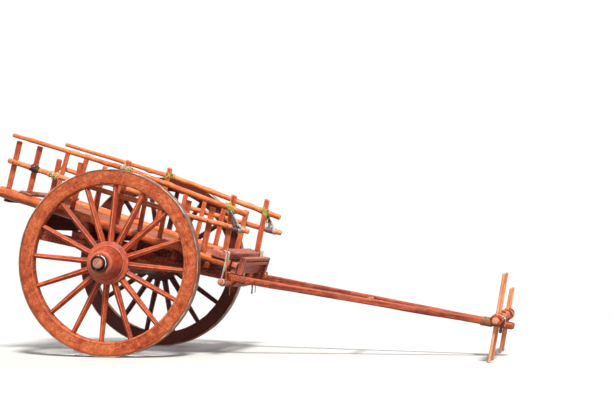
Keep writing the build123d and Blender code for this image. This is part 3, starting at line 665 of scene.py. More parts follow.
# Cross timbers and nose block: a dark, dull tone, painted shade, so the timbers under the body read as shaded
wood("beam", (56, 20, 16), (102, 38, 28), (150, 70, 50), gloss=0.7, specular=0.12)
wood("plank", (94, 46, 36), (150, 82, 60), (198, 130, 100), dust=0.45, gloss=0.65)
wood("foot", (110, 44, 28), (188, 88, 52), (232, 144, 102))
wood("block", (96, 38, 30), (184, 90, 68), (232, 146, 122), gloss=0.5, rings=0.15)
wood("log", (88, 34, 26), (164, 74, 50), (224, 136, 104), end=(246, 142, 96))
wood("branch", (108, 44, 28), (188, 84, 46), (236, 152, 110), end=(250, 156, 92))
wood("yoke", (108, 40, 26), (188, 80, 46), (236, 148, 110), end=(255, 208, 174))
wood("peeled", (208, 94, 50), (248, 144, 86), (255, 206, 166), gloss=0.45, dust=0.1, rings=0.1, contact_dark=0.4,
     streak=0.7)
IRON = iron("tyre_iron", (66, 48, 38), (122, 96, 76), (192, 170, 150), shine=0.4, dust_colour=(194, 100, 62),
            dusty=0.95)
# The axle box's iron: its near-white colour is a painted highlight on the mouth
WORN_IRON_PAINTED_GLINT = iron("worn_iron_painted_glint", (36, 26, 26), (74, 56, 52), (112, 90, 84), polish_and_glint=(252, 252, 250), shine=0.6,
                 dusty=0.0)
NAIL_IRON = iron("nail_iron", (54, 34, 28), (96, 62, 48), (140, 110, 92), attributes=False)
STRAW = fibre("straw_rope", (190, 144, 84), (250, 226, 168))
GREEN_STRAW = fibre("green_straw", (100, 110, 42), (226, 216, 122))
PALE_ROPE = fibre("pale_rope", (164, 142, 124), (238, 226, 212))
ORANGE_ROPE = fibre("orange_rope", (150, 64, 38), (236, 130, 86))
RED_ROPE = fibre("red_rope", (104, 36, 22), (208, 98, 56))
GREY_STRAP = fibre("grey_strap", (66, 54, 62), (150, 130, 134))
DARK_STRAP = fibre("dark_strap", (38, 32, 42), (80, 72, 86))
JUTE = fibre("jute_rope", (118, 78, 48), (212, 160, 108))


# Wheels, in metres from the wheel's centre: s is outward along the axle
TYRE_OUTER = 0.7
TYRE_INNER = 0.6893
FELLOE_OUTER = 0.6887
FELLOE_INNER = 0.5847
RIM_HALF = 0.040
FLANGE = 0.163
HUB_TAIL = -0.204
SPOKE_COUNT = 16
FELLOE_COUNT = 8
PHASE = {"left": 13.0, "right": 5.4}
TYRE_STEPS = 320
HUB_STEPS = 90
BOX_STEPS = 96
AXLE_WAY = (0, 1, 0)


def wheel_place(side, radius, s, turn):
    """Rows of points from distances in the wheel and the turn from its top."""
    outward = 1 if side == "left" else -1
    x, z = AXLE.x + radius * np.sin(turn), AXLE.z + radius * np.cos(turn)
    return np.column_stack([x, outward * (HALF_TRACK + s), z])


def lathe(side, rows, steps, gap):
    """A ring turned about the axle from rows of (radius, s, corner radius, wear)."""
    section, wear = outline(rows, gap)
    rings = [wheel_place(side, section[:, 0], section[:, 1], turn) for turn in even_turns(steps)]
    return *swept(rings, closed=True), np.tile(wear, steps)


def make_felloes(side, seed):
    """Eight sawn segments, moulded along their inner edges and eased at their joints."""
    rim = Worn("rim_" + side, "felloes_" + side, seed)
    rows = [(FELLOE_OUTER, -RIM_HALF, 0.003, 0.4), (FELLOE_OUTER, RIM_HALF, 0.003, 0.5)]
    # (distance from the inner edge, height over the face, corner radius, wear; a wear below 0 paints shade in the
    # groove)
    moulding = [(0.0185, 0, 0, 0), (0.017, -0.0016, 0.0004, -0.7), (0.0155, 0, 0.0004, 0),
                (0.010, 0, 0.002, 0.9), (0, -0.009, 0.002, 0.5)]
    rows += [(FELLOE_INNER + edge, RIM_HALF + up, turn, wear) for edge, up, turn, wear in moulding]
    rows += [(FELLOE_INNER + edge, -RIM_HALF - up, turn, wear) for edge, up, turn, wear in moulding[::-1]]
    section, wear = outline(rows)
    middle_point = np.array([(FELLOE_OUTER + FELLOE_INNER) / 2, 0])
    arc = 2 * math.pi / FELLOE_COUNT + 0.003
    first = math.radians(PHASE[side] + 180 / SPOKE_COUNT)
    ends = np.array([0.0, 0.0015, 0.004])
    turns = np.concatenate([ends, np.linspace(0.02, arc - 0.02, 26), (arc - ends)[::-1]]) - arc / 2
    for index in range(FELLOE_COUNT):
        middle = first + index * 2 * math.pi / FELLOE_COUNT
        rings = []
        for turn in turns:
            eased = 0.014 * max(0, 1 - (arc / 2 - abs(turn)) / 0.003)
            ring = section + (middle_point - section) * eased
            rings.append(wheel_place(side, ring[:, 0], ring[:, 1], middle + turn))
        rim.add(*swept(rings), (math.cos(middle), 0, -math.sin(middle)), 0.0005, wave=0.0009,
                wear=np.append(np.tile(wear, len(turns)), (0, 0)))
    rim.finish(LOOKS["wheel"], sharp=50)


def make_spokes(side, seed):
    """Tapered six-sided spokes, a ridge down each face."""
    spokes = Worn("spoke_set_" + side, "spokes_" + side, seed)
    width, thick = 0.0235, 0.030
    rows = [(0, thick, 0.003, 0.9), (width, thick / 2, 0.004, 0.3), (width, -thick / 2, 0.004, 0.3),
            (0, -thick, 0.003, 0.9), (-width, -thick / 2, 0.004, 0.3), (-width, thick / 2, 0.004, 0.3)]
    taper = np.array([0.255, 0.233])
    section, wear = outline(rows)
    shares = np.linspace(-0.05, 1.05, 28)
    for index in range(SPOKE_COUNT):
        turn = math.radians(PHASE[side] + index * 360 / SPOKE_COUNT)
        sideways = np.array([math.cos(turn), 0, -math.sin(turn)])
        rings = []
        for share in shares:
            ring = section * (1 - share * taper)
            radius = FLANGE + share * (FELLOE_INNER - FLANGE)
            place = wheel_place(side, np.full(len(ring), radius), ring[:, 1], turn)
            rings.append(place + ring[:, :1] * sideways)
        spokes.add(*swept(rings), (math.sin(turn), 0, math.cos(turn)), 0.0004, wave=0.0010, wave_length=0.09,
                   bend=0.0008, wear=np.append(np.tile(wear, len(shares)), (0, 0)))
    spokes.finish(LOOKS["spoke"], sharp=60)


def make_hub(side, seed):
    """Turned nave: ringed tail, sloping flange between two ridges, bell with a groove, and a banded nose."""
    # (radius, s, corner radius, wear; a wear below 0 paints shade in a groove)
    rows = [(0.0880, HUB_TAIL, 0.004, 0.3), (0.0990, -0.196, 0.004, 0.3)]
    for place in (-0.160, -0.118):
        base = 0.099 + 0.185 * (place - HUB_TAIL)
        rows += [(base, place - 0.0075, 0.001, -0.6), (base + 0.006, place - 0.0045, 0.003, 0.7),
                 (base + 0.006, place + 0.0045, 0.003, 0.7), (base + 0.001, place + 0.0075, 0.001, -0.6)]
    half = [(FLANGE, 0.033, 0.004, 0.4), (0.1295, 0.046, 0.001, -0.8), (0.1332, 0.0485, 0.003, 0.9),
            (0.1332, 0.0555, 0.003, 0.9), (0.1260, 0.0580, 0.001, -0.7)]
    rows += [(radius, -s, turn, wear) for radius, s, turn, wear in half[::-1]] + half
    start, end = np.array([0.126, 0.058]), np.array([0.091, 0.156])
    across = np.array([end[1] - start[1], start[0] - end[0]]) / np.linalg.norm(end - start)
    crown = 0.0042
    for share in np.linspace(0.1, 0.9, 9):
        radius, s = start + (end - start) * share + across * crown * 4 * share * (1 - share)
        if abs(share - 0.5) < 0.05:
            rows += [(radius + 0.0007, s - 0.004, 0, 0), (radius - 0.0018, s, 0.0005, -0.6),
                     (radius - 0.0007, s + 0.004, 0, 0)]
        else:
            rows.append((radius, s, 0.003, 0))
    rows += [(0.0905, 0.1555, 0.0005, -0.8), (0.0945, 0.1570, 0.002, 0.9), (0.0885, 0.1860, 0.004, 0.5),
             (0.0800, 0.1940, 0.003, 0.3), (0.0573, 0.1940, 0, 0), (0.0573, HUB_TAIL, 0, 0)]
    points, faces, wear = lathe(side, rows, HUB_STEPS, 0.012)
    nave = Worn("nave_" + side, "hub_" + side, seed)
    nave.add(points, faces, AXLE_WAY, 0.0003, wave=0.0010, wave_length=0.08, wear=wear)
    nave.finish(LOOKS["hub"], sharp=45)


def make_box(side):
    """Iron lining, with a painted near-white highlight on one side of its mouth."""
    rows = [(0.0450, HUB_TAIL, 0, 0), (0.0570, HUB_TAIL, 0, 0), (0.0570, 0.1943, 0, 0),
            (0.0620, 0.1943, 0.001, 0.2), (0.0620, 0.2310, 0.003, 0.2), (0.0590, 0.2350, 0.002, 0.9),
            (0.0550, 0.2350, 0.003, 1), (0.0505, 0.2305, 0.003, 1), (0.0505, 0.2090, 0, 0),
            (0.0450, 0.2090, 0, 0)]
    points, faces, wear = lathe(side, rows, BOX_STEPS, 0.02)
    # Painted highlight: the mouth's bright colour is kept to one side
    painted_glint_side = np.repeat(1.6 * np.cos(even_turns(BOX_STEPS) - 0.9) - 0.25, len(points) // BOX_STEPS)
    box = Worn("iron_box_" + side, "hub_box_" + side)
    box.add(points, faces, AXLE_WAY, 0.0002, wear=wear * np.clip(painted_glint_side, 0, 1))
    box.finish(WORN_IRON_PAINTED_GLINT, sharp=40)


def make_tyre(side):
    """Hoop with dented, rubbed edges: mud on its sides, worn metal on its tread."""
    rows = [(TYRE_INNER, -RIM_HALF, 0.001, 0), (TYRE_OUTER, -RIM_HALF, 0.003, 1),
            (TYRE_OUTER, RIM_HALF, 0.003, 1), (TYRE_INNER, RIM_HALF, 0.001, 0)]
    points, faces, wear = lathe(side, rows, TYRE_STEPS, 0.01)
    circle = 9 * ways_at(even_turns(TYRE_STEPS), np.array((1, 0, 0)), np.array((0, 1, 0)))
    spots = np.repeat(circle, len(points) // TYRE_STEPS, axis=0)
    spoke_way = (points - np.array([AXLE.x, 0, AXLE.z])) * [1, 0, 1]
    on_tread = np.linalg.norm(spoke_way, axis=1) > (TYRE_INNER + TYRE_OUTER) / 2
    flats = np.where(on_tread, 0.0006 * (1 + noise(spots, 3)), 0)
    dents = np.where(wear > 0, 0.0009 * (1 + noise(spots * 2.7, 8)), 0)
    points -= unit_rows(spoke_way) * (flats + dents)[:, None]
    rubbed = np.clip(0.4 + 0.8 * noise(spots * 1.4, 4) + 0.4 * noise(spots * 0.3, 6), 0, 1)
    hoop = Worn("hoop_" + side, "tyre_" + side)
    hoop.add(points, faces, AXLE_WAY, 0.0003, wear=wear * rubbed)
    hoop.finish(IRON, sharp=40, dust=lambda normals: np.clip(np.abs(normals[:, 1]) * 1.5 + 0.2, 0, 1))


for number, side in enumerate(("left", "right")):
    make_felloes(side, 11 + number)
    make_spokes(side, 21 + number)
    make_hub(side, 31 + number)
    make_box(side)
    make_tyre(side)

# Timber of the frame and yoke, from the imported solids; a star stands for left and then right
# In millimetres: (node, look, voxel, wave, wave length in metres, tool, bend, knots, only inward)
TIMBERS = [
    ("axle", "axle", 7.0, 1.0, 0.20, 0.6, 0.0, 0, True),
    ("draught_pole_*", "draught", 9.0, 2.2, 0.30, 0.8, 0.0, 5, True),
    ("pole_pegs", "branch", 2.5, 0.6, 0.05, 0.3, 0.0, 0, False),
    ("pole_spreader", "branch", 5.0, 1.5, 0.10, 0.4, 2.0, 2, False),
    ("nose_block", "beam", 5.0, 1.0, 0.10, 0.5, 0.0, 0, True),
    ("king_peg", "branch", 3.0, 0.5, 0.05, 0.2, 0.0, 0, True),
    ("bolster", "beam", 11.0, 1.5, 0.20, 0.6, 0.0, 0, True),
    ("cross_beams", "beam", 12.0, 1.5, 0.20, 0.6, 0.0, 0, True),
    ("tail_beam", "beam", 9.0, 1.5, 0.20, 0.6, 0.0, 0, True),
    ("side_rail_*", "rail", 8.0, 3.2, 0.25, 0.8, 0.0, 8, False),
    ("floor_boards", "plank", 13.0, 0.8, 0.30, 0.4, 0.0, 0, True),
    ("stakes_*", "stake", 6.5, 1.6, 0.12, 0.7, 1.2, 0, False),
    ("rear_plank", "plank", 6.0, 1.2, 0.15, 0.6, 0.0, 0, True),
    ("front_sill", "block", 8.0, 2.5, 0.15, 0.9, 0.0, 0, True),
    ("front_bearer", "block", 7.0, 1.5, 0.12, 0.6, 0.0, 0, True),
    ("foot_posts", "block", 4.0, 1.5, 0.08, 0.6, 0.0, 0, True),
    ("foot_planks", "foot", 5.5, 1.2, 0.12, 0.6, 0.0, 0, True),
    ("front_log", "log", 5.0, 2.4, 0.12, 0.6, 0.0, 4, False),
    ("mid_rail_*", "middle_rail", 5.8, 1.8, 0.15, 0.5, 1.5, 6, False),
    ("top_rail_rear_*", "rack_pole", 4.5, 1.2, 0.15, 0.4, 1.5, 4, False),
    ("top_rail_front_*", "rack_pole", 5.0, 1.4, 0.15, 0.4, 1.5, 5, False),
    ("yoke_beam", "yoke", 7.0, 1.4, 0.12, 0.5, 0.0, 2, True),
    ("yoke_pins_*", "peeled", 4.5, 0.7, 0.08, 0.3, 0.0, 0, True),
]
# Two timbers bend: their grain follows the long front stretch
ALONG = {"draught_pole_left": cart_way(1, -0.193, 0.128), "draught_pole_right": cart_way(1, 0.193, 0.128)}
seed = 100
for pattern, look, voxel, wave, wave_length, tool, bend, knots, inward in TIMBERS:
    for side in ("left", "right") if "*" in pattern else ("",):
        node = pattern.replace("*", side)
        timber = Worn("worn_" + node, node, seed)
        seed += 3
        along = ALONG.get(node)
        for points, faces in node_solids(node):
            points, faces = remeshed(points, faces, voxel / 1000, along)
            timber.add(points, faces, along, tool / 1000, wave / 1000, wave_length, bend / 1000, knots,
                       inward)
        timber.finish(LOOKS[look])

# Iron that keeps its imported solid
for node in ("linchpin_left", "linchpin_right"):
    obj = nodes[node]
    obj.data.materials.clear()
    obj.data.materials.append(NAIL_IRON)
    ease = obj.modifiers.new("ease", "BEVEL")
    ease.width = 0.0012
    ease.segments = 2
    ease.limit_method = "ANGLE"


# Lashings: cord wound taut round what it holds
@cache
def surface(node, index=None):
    """Search tree of a worn piece, or of one of its solids."""
    solids, faces = shown[node]
    points = np.concatenate(solids)
    if index is not None:
        first = sum(len(solid) for solid in solids[:index])
        last = first + len(solids[index])
        faces = [[corner - first for corner in face] for face in faces if first <= face[0] < last]
        points = solids[index]
    return BVHTree.FromPolygons(points.tolist(), faces)


CONTACT_REACH = 0.08
WIND_STEPS = 60


def contact(points, tree):
    """Where a piece comes nearest to another."""
    near = [tree.find_nearest(Vector(point), CONTACT_REACH) for point in points]
    distance = np.array([CONTACT_REACH if found[0] is None else found[3] for found in near])
    chosen = np.nonzero(distance < distance.min() + 0.004)[0]
    return np.mean([(points[index] + np.array(near[index][0])) / 2 for index in chosen], axis=0)


def wound(held, centre, normal, first, radius, turns, pitch=None, reach=0.12):
    """Path of a cord wound round the trees it holds, straight between the points it touches."""
    normal = unit(normal)
    first = unit(np.asarray(first) - np.dot(first, normal) * normal)
    pitch = pitch or 2.1 * radius
    angles = even_turns(WIND_STEPS)
    ways = ways_at(angles, first, np.cross(normal, first))
    apart = np.cos(angles[:, None] - angles[None, :])
    extent = []
    for turn in range(turns + 1):
        middle = centre + normal * pitch * (turn - turns / 2)
        reached = np.zeros(WIND_STEPS)
        for index, way in enumerate(ways):
            for tree in held:
                distance = tree.ray_cast(Vector(middle + way * reach), Vector(-way), reach)[3]
                if distance is not None:
                    reached[index] = max(reached[index], reach - distance)
        support = (reached[:, None] * apart).max(axis=0) + radius * 0.85
        taut = np.where(apart > 0.05, support[None, :] / np.maximum(apart, 0.05), 9)
        extent.append(taut.min(axis=1))
    path = []
    for step in range(turns * WIND_STEPS + 1):
        turn, index = divmod(step, WIND_STEPS)
        share = index / WIND_STEPS
        after = extent[min(turn + 1, turns)][index]
        distance = (1 - share) * extent[turn][index] + share * after
        path.append(centre + normal * pitch * (step / WIND_STEPS - turns / 2) + ways[index] * distance)
    return np.array(path)


def route(points, resolution=10):
    """Smooth line that follows a few points, by a curve with no bevel."""
    curve = bpy.data.curves.new("route", "CURVE")
    curve.dimensions = "3D"
    spline = curve.splines.new("NURBS")
    spline.points.add(len(points) - 1)
    for point, place in zip(spline.points, points):
        point.co = (*place, 1)
    spline.order_u = 3
    spline.use_endpoint_u = True
    spline.resolution_u = resolution
    work = bpy.data.objects.new("route", curve)
    mesh = bpy.data.meshes.new_from_object(work)
    line = np.array([list(vertex.co) for vertex in mesh.vertices])
    bpy.data.objects.remove(work)
    bpy.data.curves.remove(curve)
    bpy.data.meshes.remove(mesh)
    return line


def evenly(path, step):
    """The path at even steps, and how far along it each one is."""
    lengths = np.append(0, np.cumsum(np.linalg.norm(np.diff(path, axis=0), axis=1)))
    places = np.linspace(0, lengths[-1], max(3, int(lengths[-1] / step)))
    return np.column_stack([np.interp(places, lengths, path[:, axis]) for axis in range(3)]), places


def carried_frames(path):
    """Two directions square to the path at each point, turning as little as they can."""
    along = unit_rows(np.gradient(path, axis=0))
    side = np.cross(along[0], (0.3, 0.5, 0.8))
    sides = []
    for way in along:
        side = unit(side - np.dot(side, way) * way)
        sides.append(side)
    sides = np.array(sides)
    return sides, np.cross(along, sides)


# A strap's section: shares of half its width, and of its thickness
STRAP_SECTION = ((1, 0.4), (0.5, 1), (-0.5, 1), (-1, 0.4), (-1, -0.4), (-0.5, -1), (0.5, -1), (1, -0.4))
# A nail's domed head: shares of its radius, outward and up
NAIL_HEAD = ((1.0, -0.4), (1.0, 0.15), (0.75, 0.38), (0.35, 0.5))


class Fastening(Piece):
    """Strands, straps, stalks or nails of one colour."""

    def __init__(self, name, body, material, slot="frame_wood"):
        super().__init__(name, body)
        self.material, self.slot = material, slot

    def tube(self, path, radii, sides=4, middle=None):
        """A round bar along the path, or along the middle line given with it."""
        frames = zip(path if middle is None else middle, np.broadcast_to(radii, len(path)),
                     *carried_frames(path))
        turns = even_turns(sides)
        self.gather(*swept([centre + radius * ways_at(turns, a, b) for centre, radius, a, b in frames]))

    def rope(self, path, radius):
        """Three strands twisted together."""
        path, places = evenly(path, radius * 2.0)
        frames = carried_frames(path)
        for strand in range(3):
            turns = (places / (radius * 7) + strand / 3) * 2 * math.pi
            middle = path + radius * 0.5 * ways_at(turns, *frames)
            self.tube(path, radius * 0.56, 5, middle)

    def strap(self, path, across, width, thick=0.0016, turned=None, narrow=1.0):
        """Flat strip whose width lies along across, and along turned at its end, narrowing on the way."""
        path, places = evenly(path, 0.005)
        along = np.gradient(path, axis=0)
        across = np.asarray(across, float)
        turned = across if turned is None else np.asarray(turned, float)
        rings = []
        for point, way, place in zip(path, along, places):
            share = min(1, place / places[-1] * 1.6)
            flat = across + (turned - across) * share
            flat = unit(flat - np.dot(flat, way) / np.dot(way, way) * way)
            out = unit(np.cross(way, flat))
            wide = width / 2 * (1 + 0.12 * math.sin(place * 90) + 0.06 * math.sin(place * 230))
            wide *= 1 + (narrow - 1) * share
            rings.append(np.array([point + flat * wide * a + out * thick * b for a, b in STRAP_SECTION]))
        self.gather(*swept(rings))

    def wind(self, held, centre, normal, first, radius, turns, pitch=None, reach=0.12):
        """Turns of rope round what it holds."""
        self.rope(wound(held, centre, normal, first, radius, turns, pitch, reach), radius)

    def band(self, held, centre, normal, first, radius, turns, pitch, width, reach=0.12):
        """Turns of strap round what it holds."""
        self.strap(wound(held, centre, normal, first, radius, turns, pitch, reach), normal, width)

    def knot(self, place, out, radius, seed=0):
        out = unit(out)
        side = unit(np.cross(out, (0.4, 0.2 + seed * 0.3, 1)))
        turn = np.linspace(0, 2 * math.pi, 40)
        wide, high = np.sin(turn) + 2 * np.sin(2 * turn), np.cos(turn) - 2 * np.cos(2 * turn)
        shape = np.column_stack([wide, high, -np.sin(3 * turn)])
        path = shape[:, :1] * side + shape[:, 1:2] * np.cross(out, side) + shape[:, 2:] * out
        self.rope(place + radius * 0.85 * path, radius * 0.9)

    def stalks(self, place, out, count, length, seed):
        """Loose straw ends that fan out of a knot and droop."""
        chance = np.random.default_rng(seed)
        for _ in range(count):
            way = unit(unit(out) * 0.8 + chance.uniform(-1, 1, 3))
            long = length * chance.uniform(0.5, 1)
            tip = place + way * long * 0.9 + np.array([0, 0, -0.3 * long])
            line = route([place, place + way * long * 0.5, tip], 5)
            self.tube(line, np.linspace(0.0013, 0.0006, len(line)))

    def nail(self, tree, start, way, size=0.006):
        """A head on the first surface met from start."""
        place, normal, _index, _distance = tree.ray_cast(Vector(start), Vector(unit(way)), 0.6)
        if place is None:
            return
        out = np.array(normal) if np.dot(normal, way) < 0 else -np.array(normal)
        side = unit(np.cross(out, (0.3, 0.5, 0.81)))
        ring = ways_at(even_turns(10), side, np.cross(out, side))
        self.gather(*swept([np.array(place) + size * (share * ring + up * out) for share, up in NAIL_HEAD]))

    def finish(self):
        points = np.concatenate(self.points)
        new_piece(self.name, points, self.faces, self.material, self.body)


CORDS = [("straw_", STRAW), ("green_straw_", GREEN_STRAW), ("pale_rope_", PALE_ROPE),
         ("orange_rope_", ORANGE_ROPE), ("grey_strap_", GREY_STRAP), ("dark_strap_", DARK_STRAP)]
AHEAD = cart_way(1, 0, 0)
LOG_WAY = cart_way(0.1, 1, 0)
# Radii of ropes, and how far a strap's middle lies from what it is wound on
STRAW_RADIUS = 0.0034
GREEN_RADIUS = 0.0036
ORANGE_RADIUS = 0.0042
STRAP_LIFT = 0.0018


def tie_body(side, s):
    """The lashings of one side of the body, s being 1 on the left and -1 on the right."""
    out = np.array([0, s, 0])
    cords = [Fastening(name + side, "cart", colour) for name, colour in CORDS]
    straw, green, pale, orange, grey, dark = cords

    def line(rows, start=None):
        """Smooth line through points of the level cart, given as on its left side."""
        return route(([] if start is None else [start]) + [cart(x, s * y, z) for x, y, z in rows])

    def crossing(stake, rail):
        """Contact of a stake with a rack pole, what to wind round, and the two ways across."""
        stake_points = shown["stakes_" + side][0][stake]
        rail_tree = surface(rail + "_" + side)
        place = contact(stake_points, rail_tree)
        up = grain_axes(stake_points)[1][0]
        along = grain_axes(np.concatenate(shown[rail + "_" + side][0]))[1][0]
        return place, [surface("stakes_" + side, stake), rail_tree], (unit(up + along), unit(up - along))

    def lash(cord, stake, rail, turns, radius, bunch):
        """Crossed turns over both pieces, and turns round the rack pole on each side of the stake."""
        place, held, ways = crossing(stake, rail)
        for way in ways:
            cord.wind(held, place, way, out, radius, turns)
        rail_points = np.concatenate(shown[rail + "_" + side][0])
        along = grain_axes(rail_points)[1][0]
        for offset in (-0.034, 0.032):
            near = np.abs((rail_points - place) @ along - offset) < 0.012
            if near.any():
                middle = rail_points[near].mean(axis=0)
                cord.wind(held[1:], middle, along + 0.15 * out, out, radius * 1.1, bunch, reach=0.08)
        return place

    # Stakes count from the tail. A dark strap, straw with a star of loose ends, and green straw higher up
    knot = lash(straw, 2, "mid_rail", 3, STRAW_RADIUS, 2) + out * 0.047 + cart_way(16, 0, 6)
    straw.knot(knot, out, 0.005)
    straw.stalks(knot, out, 28, 0.06, 5)
    place, held, ways = crossing(1, "mid_rail")
    for way in ways:
        dark.band(held, place, way, out, STRAP_LIFT, 2, 0.009, 0.010)
    dark.band(held[1:], place + out * 0.02 + cart_way(36, 0, 4), AHEAD, out, STRAP_LIFT, 2, 0.008, 0.016)
    lash(green, 5, "top_rail_front", 2, GREEN_RADIUS, 1)

    # Green straw over the front stake, its ends down the stake
    place, held, ways = crossing(10, "top_rail_front")
    green.wind(held, place, ways[0], out, GREEN_RADIUS, 5)
    green.wind(held, place, ways[1], out, 0.0034, 1)
    # Three ends hang: (out in metres, ahead and up in millimetres), then what each is shifted and longer by
    hanging = ((0.049, 8, -6), (0.040, 20, -32), (0.016, 29, -54), (0.010, 38, -76))
    for ahead, below in ((0, 0), (7, 4), (-6, 7)):
        end = [place + out * away + cart_way(x + ahead, 0, z) for away, x, z in hanging]
        end[-1] = place + out * 0.010 + cart_way(38 + ahead, 0, -76 - below)
        green.rope(route(end), 0.0032)
        green.stalks(end[-1], out + cart_way(0.6, 0, -0.8), 5, 0.03, 9 + below)

    # Splice of the two top poles
    splice = [surface("top_rail_rear_" + side), surface("top_rail_front_" + side)]
    pale.wind(splice, cart(-119, s * 561, 704), AHEAD, out, 0.0034, 9)

    # Hangers from the sill's front edge to the log, and the windings round the log
    hanger = [(786, 528, 341), (804, 532, 340), (818, 535, 338), (824, 537, 322), (827, 538, 290),
              (830, 541, 220), (830, 543, 150), (830, 545, 112), (834, 545, 92), (853, 545, 86),
              (872, 545, 92), (877, 545, 112), (872, 545, 132), (856, 545, 137)]
    pale.strap(line(hanger), cart_way(1, 0.5, 0), 0.040, 0.0020, cart_way(0.3, 1, 0), 0.45)
    strand = [(790, 541, 339), (812, 543, 341), (824, 546, 334), (829, 549, 300), (846, 560, 220),
              (868, 568, 150), (879, 570, 118), (872, 571, 92), (850, 572, 84), (830, 574, 100),
              (828, 577, 124), (846, 580, 142), (868, 583, 136)]
    orange.rope(line(strand), ORANGE_RADIUS)
    log = [surface("front_log")]
    pale.wind(log, cart(849, s * 604, 114), LOG_WAY, AHEAD, 0.0040, 4, reach=0.06)
    orange.wind(log, cart(851, s * 583, 113), LOG_WAY, AHEAD, ORANGE_RADIUS, 3, reach=0.06)
    on_log = [(868, 578, 137), (872, 560, 139), (876, 530, 136), (881, 490, 130), (886, 450, 122)]
    orange.rope(line(on_log), ORANGE_RADIUS)

    # Crossed turns where the log meets the draught pole, and their loose ends
    pole = surface("draught_pole_" + side)
    log_points = np.concatenate(shown["front_log"][0])
    lower = contact(log_points[log_points[:, 1] * s > 0.2], pole)
    for way in (cart_way(1, 1, 0.1), cart_way(1, -1, 0.1)):
        orange.wind(log + [pole], lower, way, cart_way(0, 0, -1), ORANGE_RADIUS, 3, reach=0.16)
    tail = lower + cart_way(16, s * 20, -46)
    end = [cart_way(0, 0, 14), cart_way(4, 0, 0), (0.004, 0, -0.03), (0, 0.002, -0.06)]
    orange.rope(route([tail + step for step in end]), 0.0036)
    end = [cart_way(-20, 0, 14), cart_way(-24, s * 4, -2), (-0.022, 0, -0.035), (-0.026, 0, -0.07)]
    dark.strap(route([tail + step for step in end]), AHEAD, 0.011)

    # From the green straw to the middle rail: a pale cord, a grey cord, a flat grey strap, and their turns
    mid_rail = [surface("mid_rail_" + side)]
    rail_way = cart_way(1, 0, 0.03)
    knot = place + out * 0.050 + cart_way(12, 0, -16)
    pale.rope(line([(800, 582, 604), (836, 580, 566), (866, 577, 538)], knot), 0.0052)
    pale.wind(mid_rail, cart(868, s * 549, 529), rail_way, out, 0.0046, 3, reach=0.07)
    grey.rope(line([(798, 584, 598), (826, 580, 562), (846, 576, 536)], knot), 0.0046)
    grey.wind(mid_rail, cart(846, s * 549, 528), rail_way, out, 0.0040, 2, reach=0.07)
    grey.strap(line([(792, 584, 600), (808, 579, 560), (816, 574, 534)], knot), AHEAD, 0.020)
    grey.band(mid_rail, cart(818, s * 549, 526), rail_way, out, STRAP_LIFT, 2, 0.012, 0.024, reach=0.07)
    for cord in cords:
        cord.finish()


def tie_yoke(side, s):
    """Thick turns beside each pin, crossed turns over it, and cloth strips between."""
    thick = Fastening("yoke_rope_" + side, "yoke", RED_ROPE)
    cloth = Fastening("yoke_cloth_" + side, "yoke", PALE_ROPE)
    across, ahead = (0, 1, 0), (1, 0, 0)
    beam = surface("yoke_beam")
    pins = surface("yoke_pins_" + side)
    # Millimetres from the middle: (the pin, the turns beside it)
    for pin, beside in ((360, 390), (640, 610)):
        for way in ((0, 1, 1), (0, 1, -1)):
            normal = yoke(*way) - yoke(0, 0, 0)
            thick.wind([beam, pins], yoke(0, s * pin, 0), normal, ahead, 0.0052, 3, reach=0.14)
        thick.wind([beam], yoke(0, s * beside, 0), across, ahead, 0.0070, 2, 0.014, reach=0.09)
    cloth.band([beam], yoke(0, s * 418, 0), across, ahead, 0.0016, 3, 0.014, 0.020, reach=0.09)
    cloth.knot(yoke(34, s * 420, 22), (0.7, s * 0.2, 0.7), 0.006, 3)
    end = [(38, 420, 22), (52, 424, 6), (50, 428, -22), (54, 430, -46)]
    cloth.strap(route([yoke(x, s * y, z) for x, y, z in end]), across, 0.016)
    thick.finish()
    cloth.finish()


for side, s in SIDES:
    tie_body(side, s)
for side, s in SIDES:
    tie_yoke(side, s)

# Windings that hold the poles' noses to their block
nose = Fastening("nose_rope", "cart", JUTE)
held = [surface(node) for node in ("draught_pole_left", "draught_pole_right", "nose_block")]
NOSE_WAY = cart_way(math.cos(NOSE_SLOPE), 0, math.sin(NOSE_SLOPE))
for x, turns in ((2772, 5), (2728, 3)):
    z = 460 - (2857 - x) * math.tan(NOSE_SLOPE) - 36
    nose.wind(held, cart(x, 0, z), NOSE_WAY, cart_way(0, 0, 1), 0.0048, turns, reach=0.16)
nose.finish()

# Nails: domed heads driven where one piece crosses another, but for the crossings that are lashed
LASHED = (("mid_rail", 1), ("mid_rail", 2), ("top_rail_front", 5), ("top_rail_front", 10))
DOWN = cart_way(0, 0, -1)
BACK = cart_way(-1, 0, 0)
nails = Fastening("nails", "cart", NAIL_IRON, "iron_worn")
for side, s in SIDES:
    for stake, stake_points in enumerate(shown["stakes_" + side][0]):
        for rail in ("mid_rail", "top_rail_rear", "top_rail_front"):
            tree = surface(rail + "_" + side)
            nearest = min(tree.find_nearest(Vector(point))[3] for point in stake_points[::7])
            if nearest < 0.008 and (rail, stake) not in LASHED:
                place = contact(stake_points, tree)
                nails.nail(tree, place + np.array([0, s * 0.1, 0]), (0, -s, 0))
    for node, x, y in (("rear_plank", -845, 505), ("front_sill", 740, 470), ("front_sill", 790, 470)):
        nails.nail(surface(node), cart(x, s * y, 420), DOWN, 0.008)
    for z in (276, 309):
        nails.nail(surface("foot_planks"), cart(990, s * 362, z), BACK, 0.005)
    nails.nail(surface("foot_posts"), cart(1000, s * 386, 222), BACK, 0.007)
BOARD_PITCH = 128
for x in (-686, -290, 102, 432, 690):
    for board in range(-3, 4):
        for offset in (-38, 38):
            nails.nail(surface("floor_boards"), cart(x, board * BOARD_PITCH + offset, 330), DOWN, 0.005)
nails.finish()

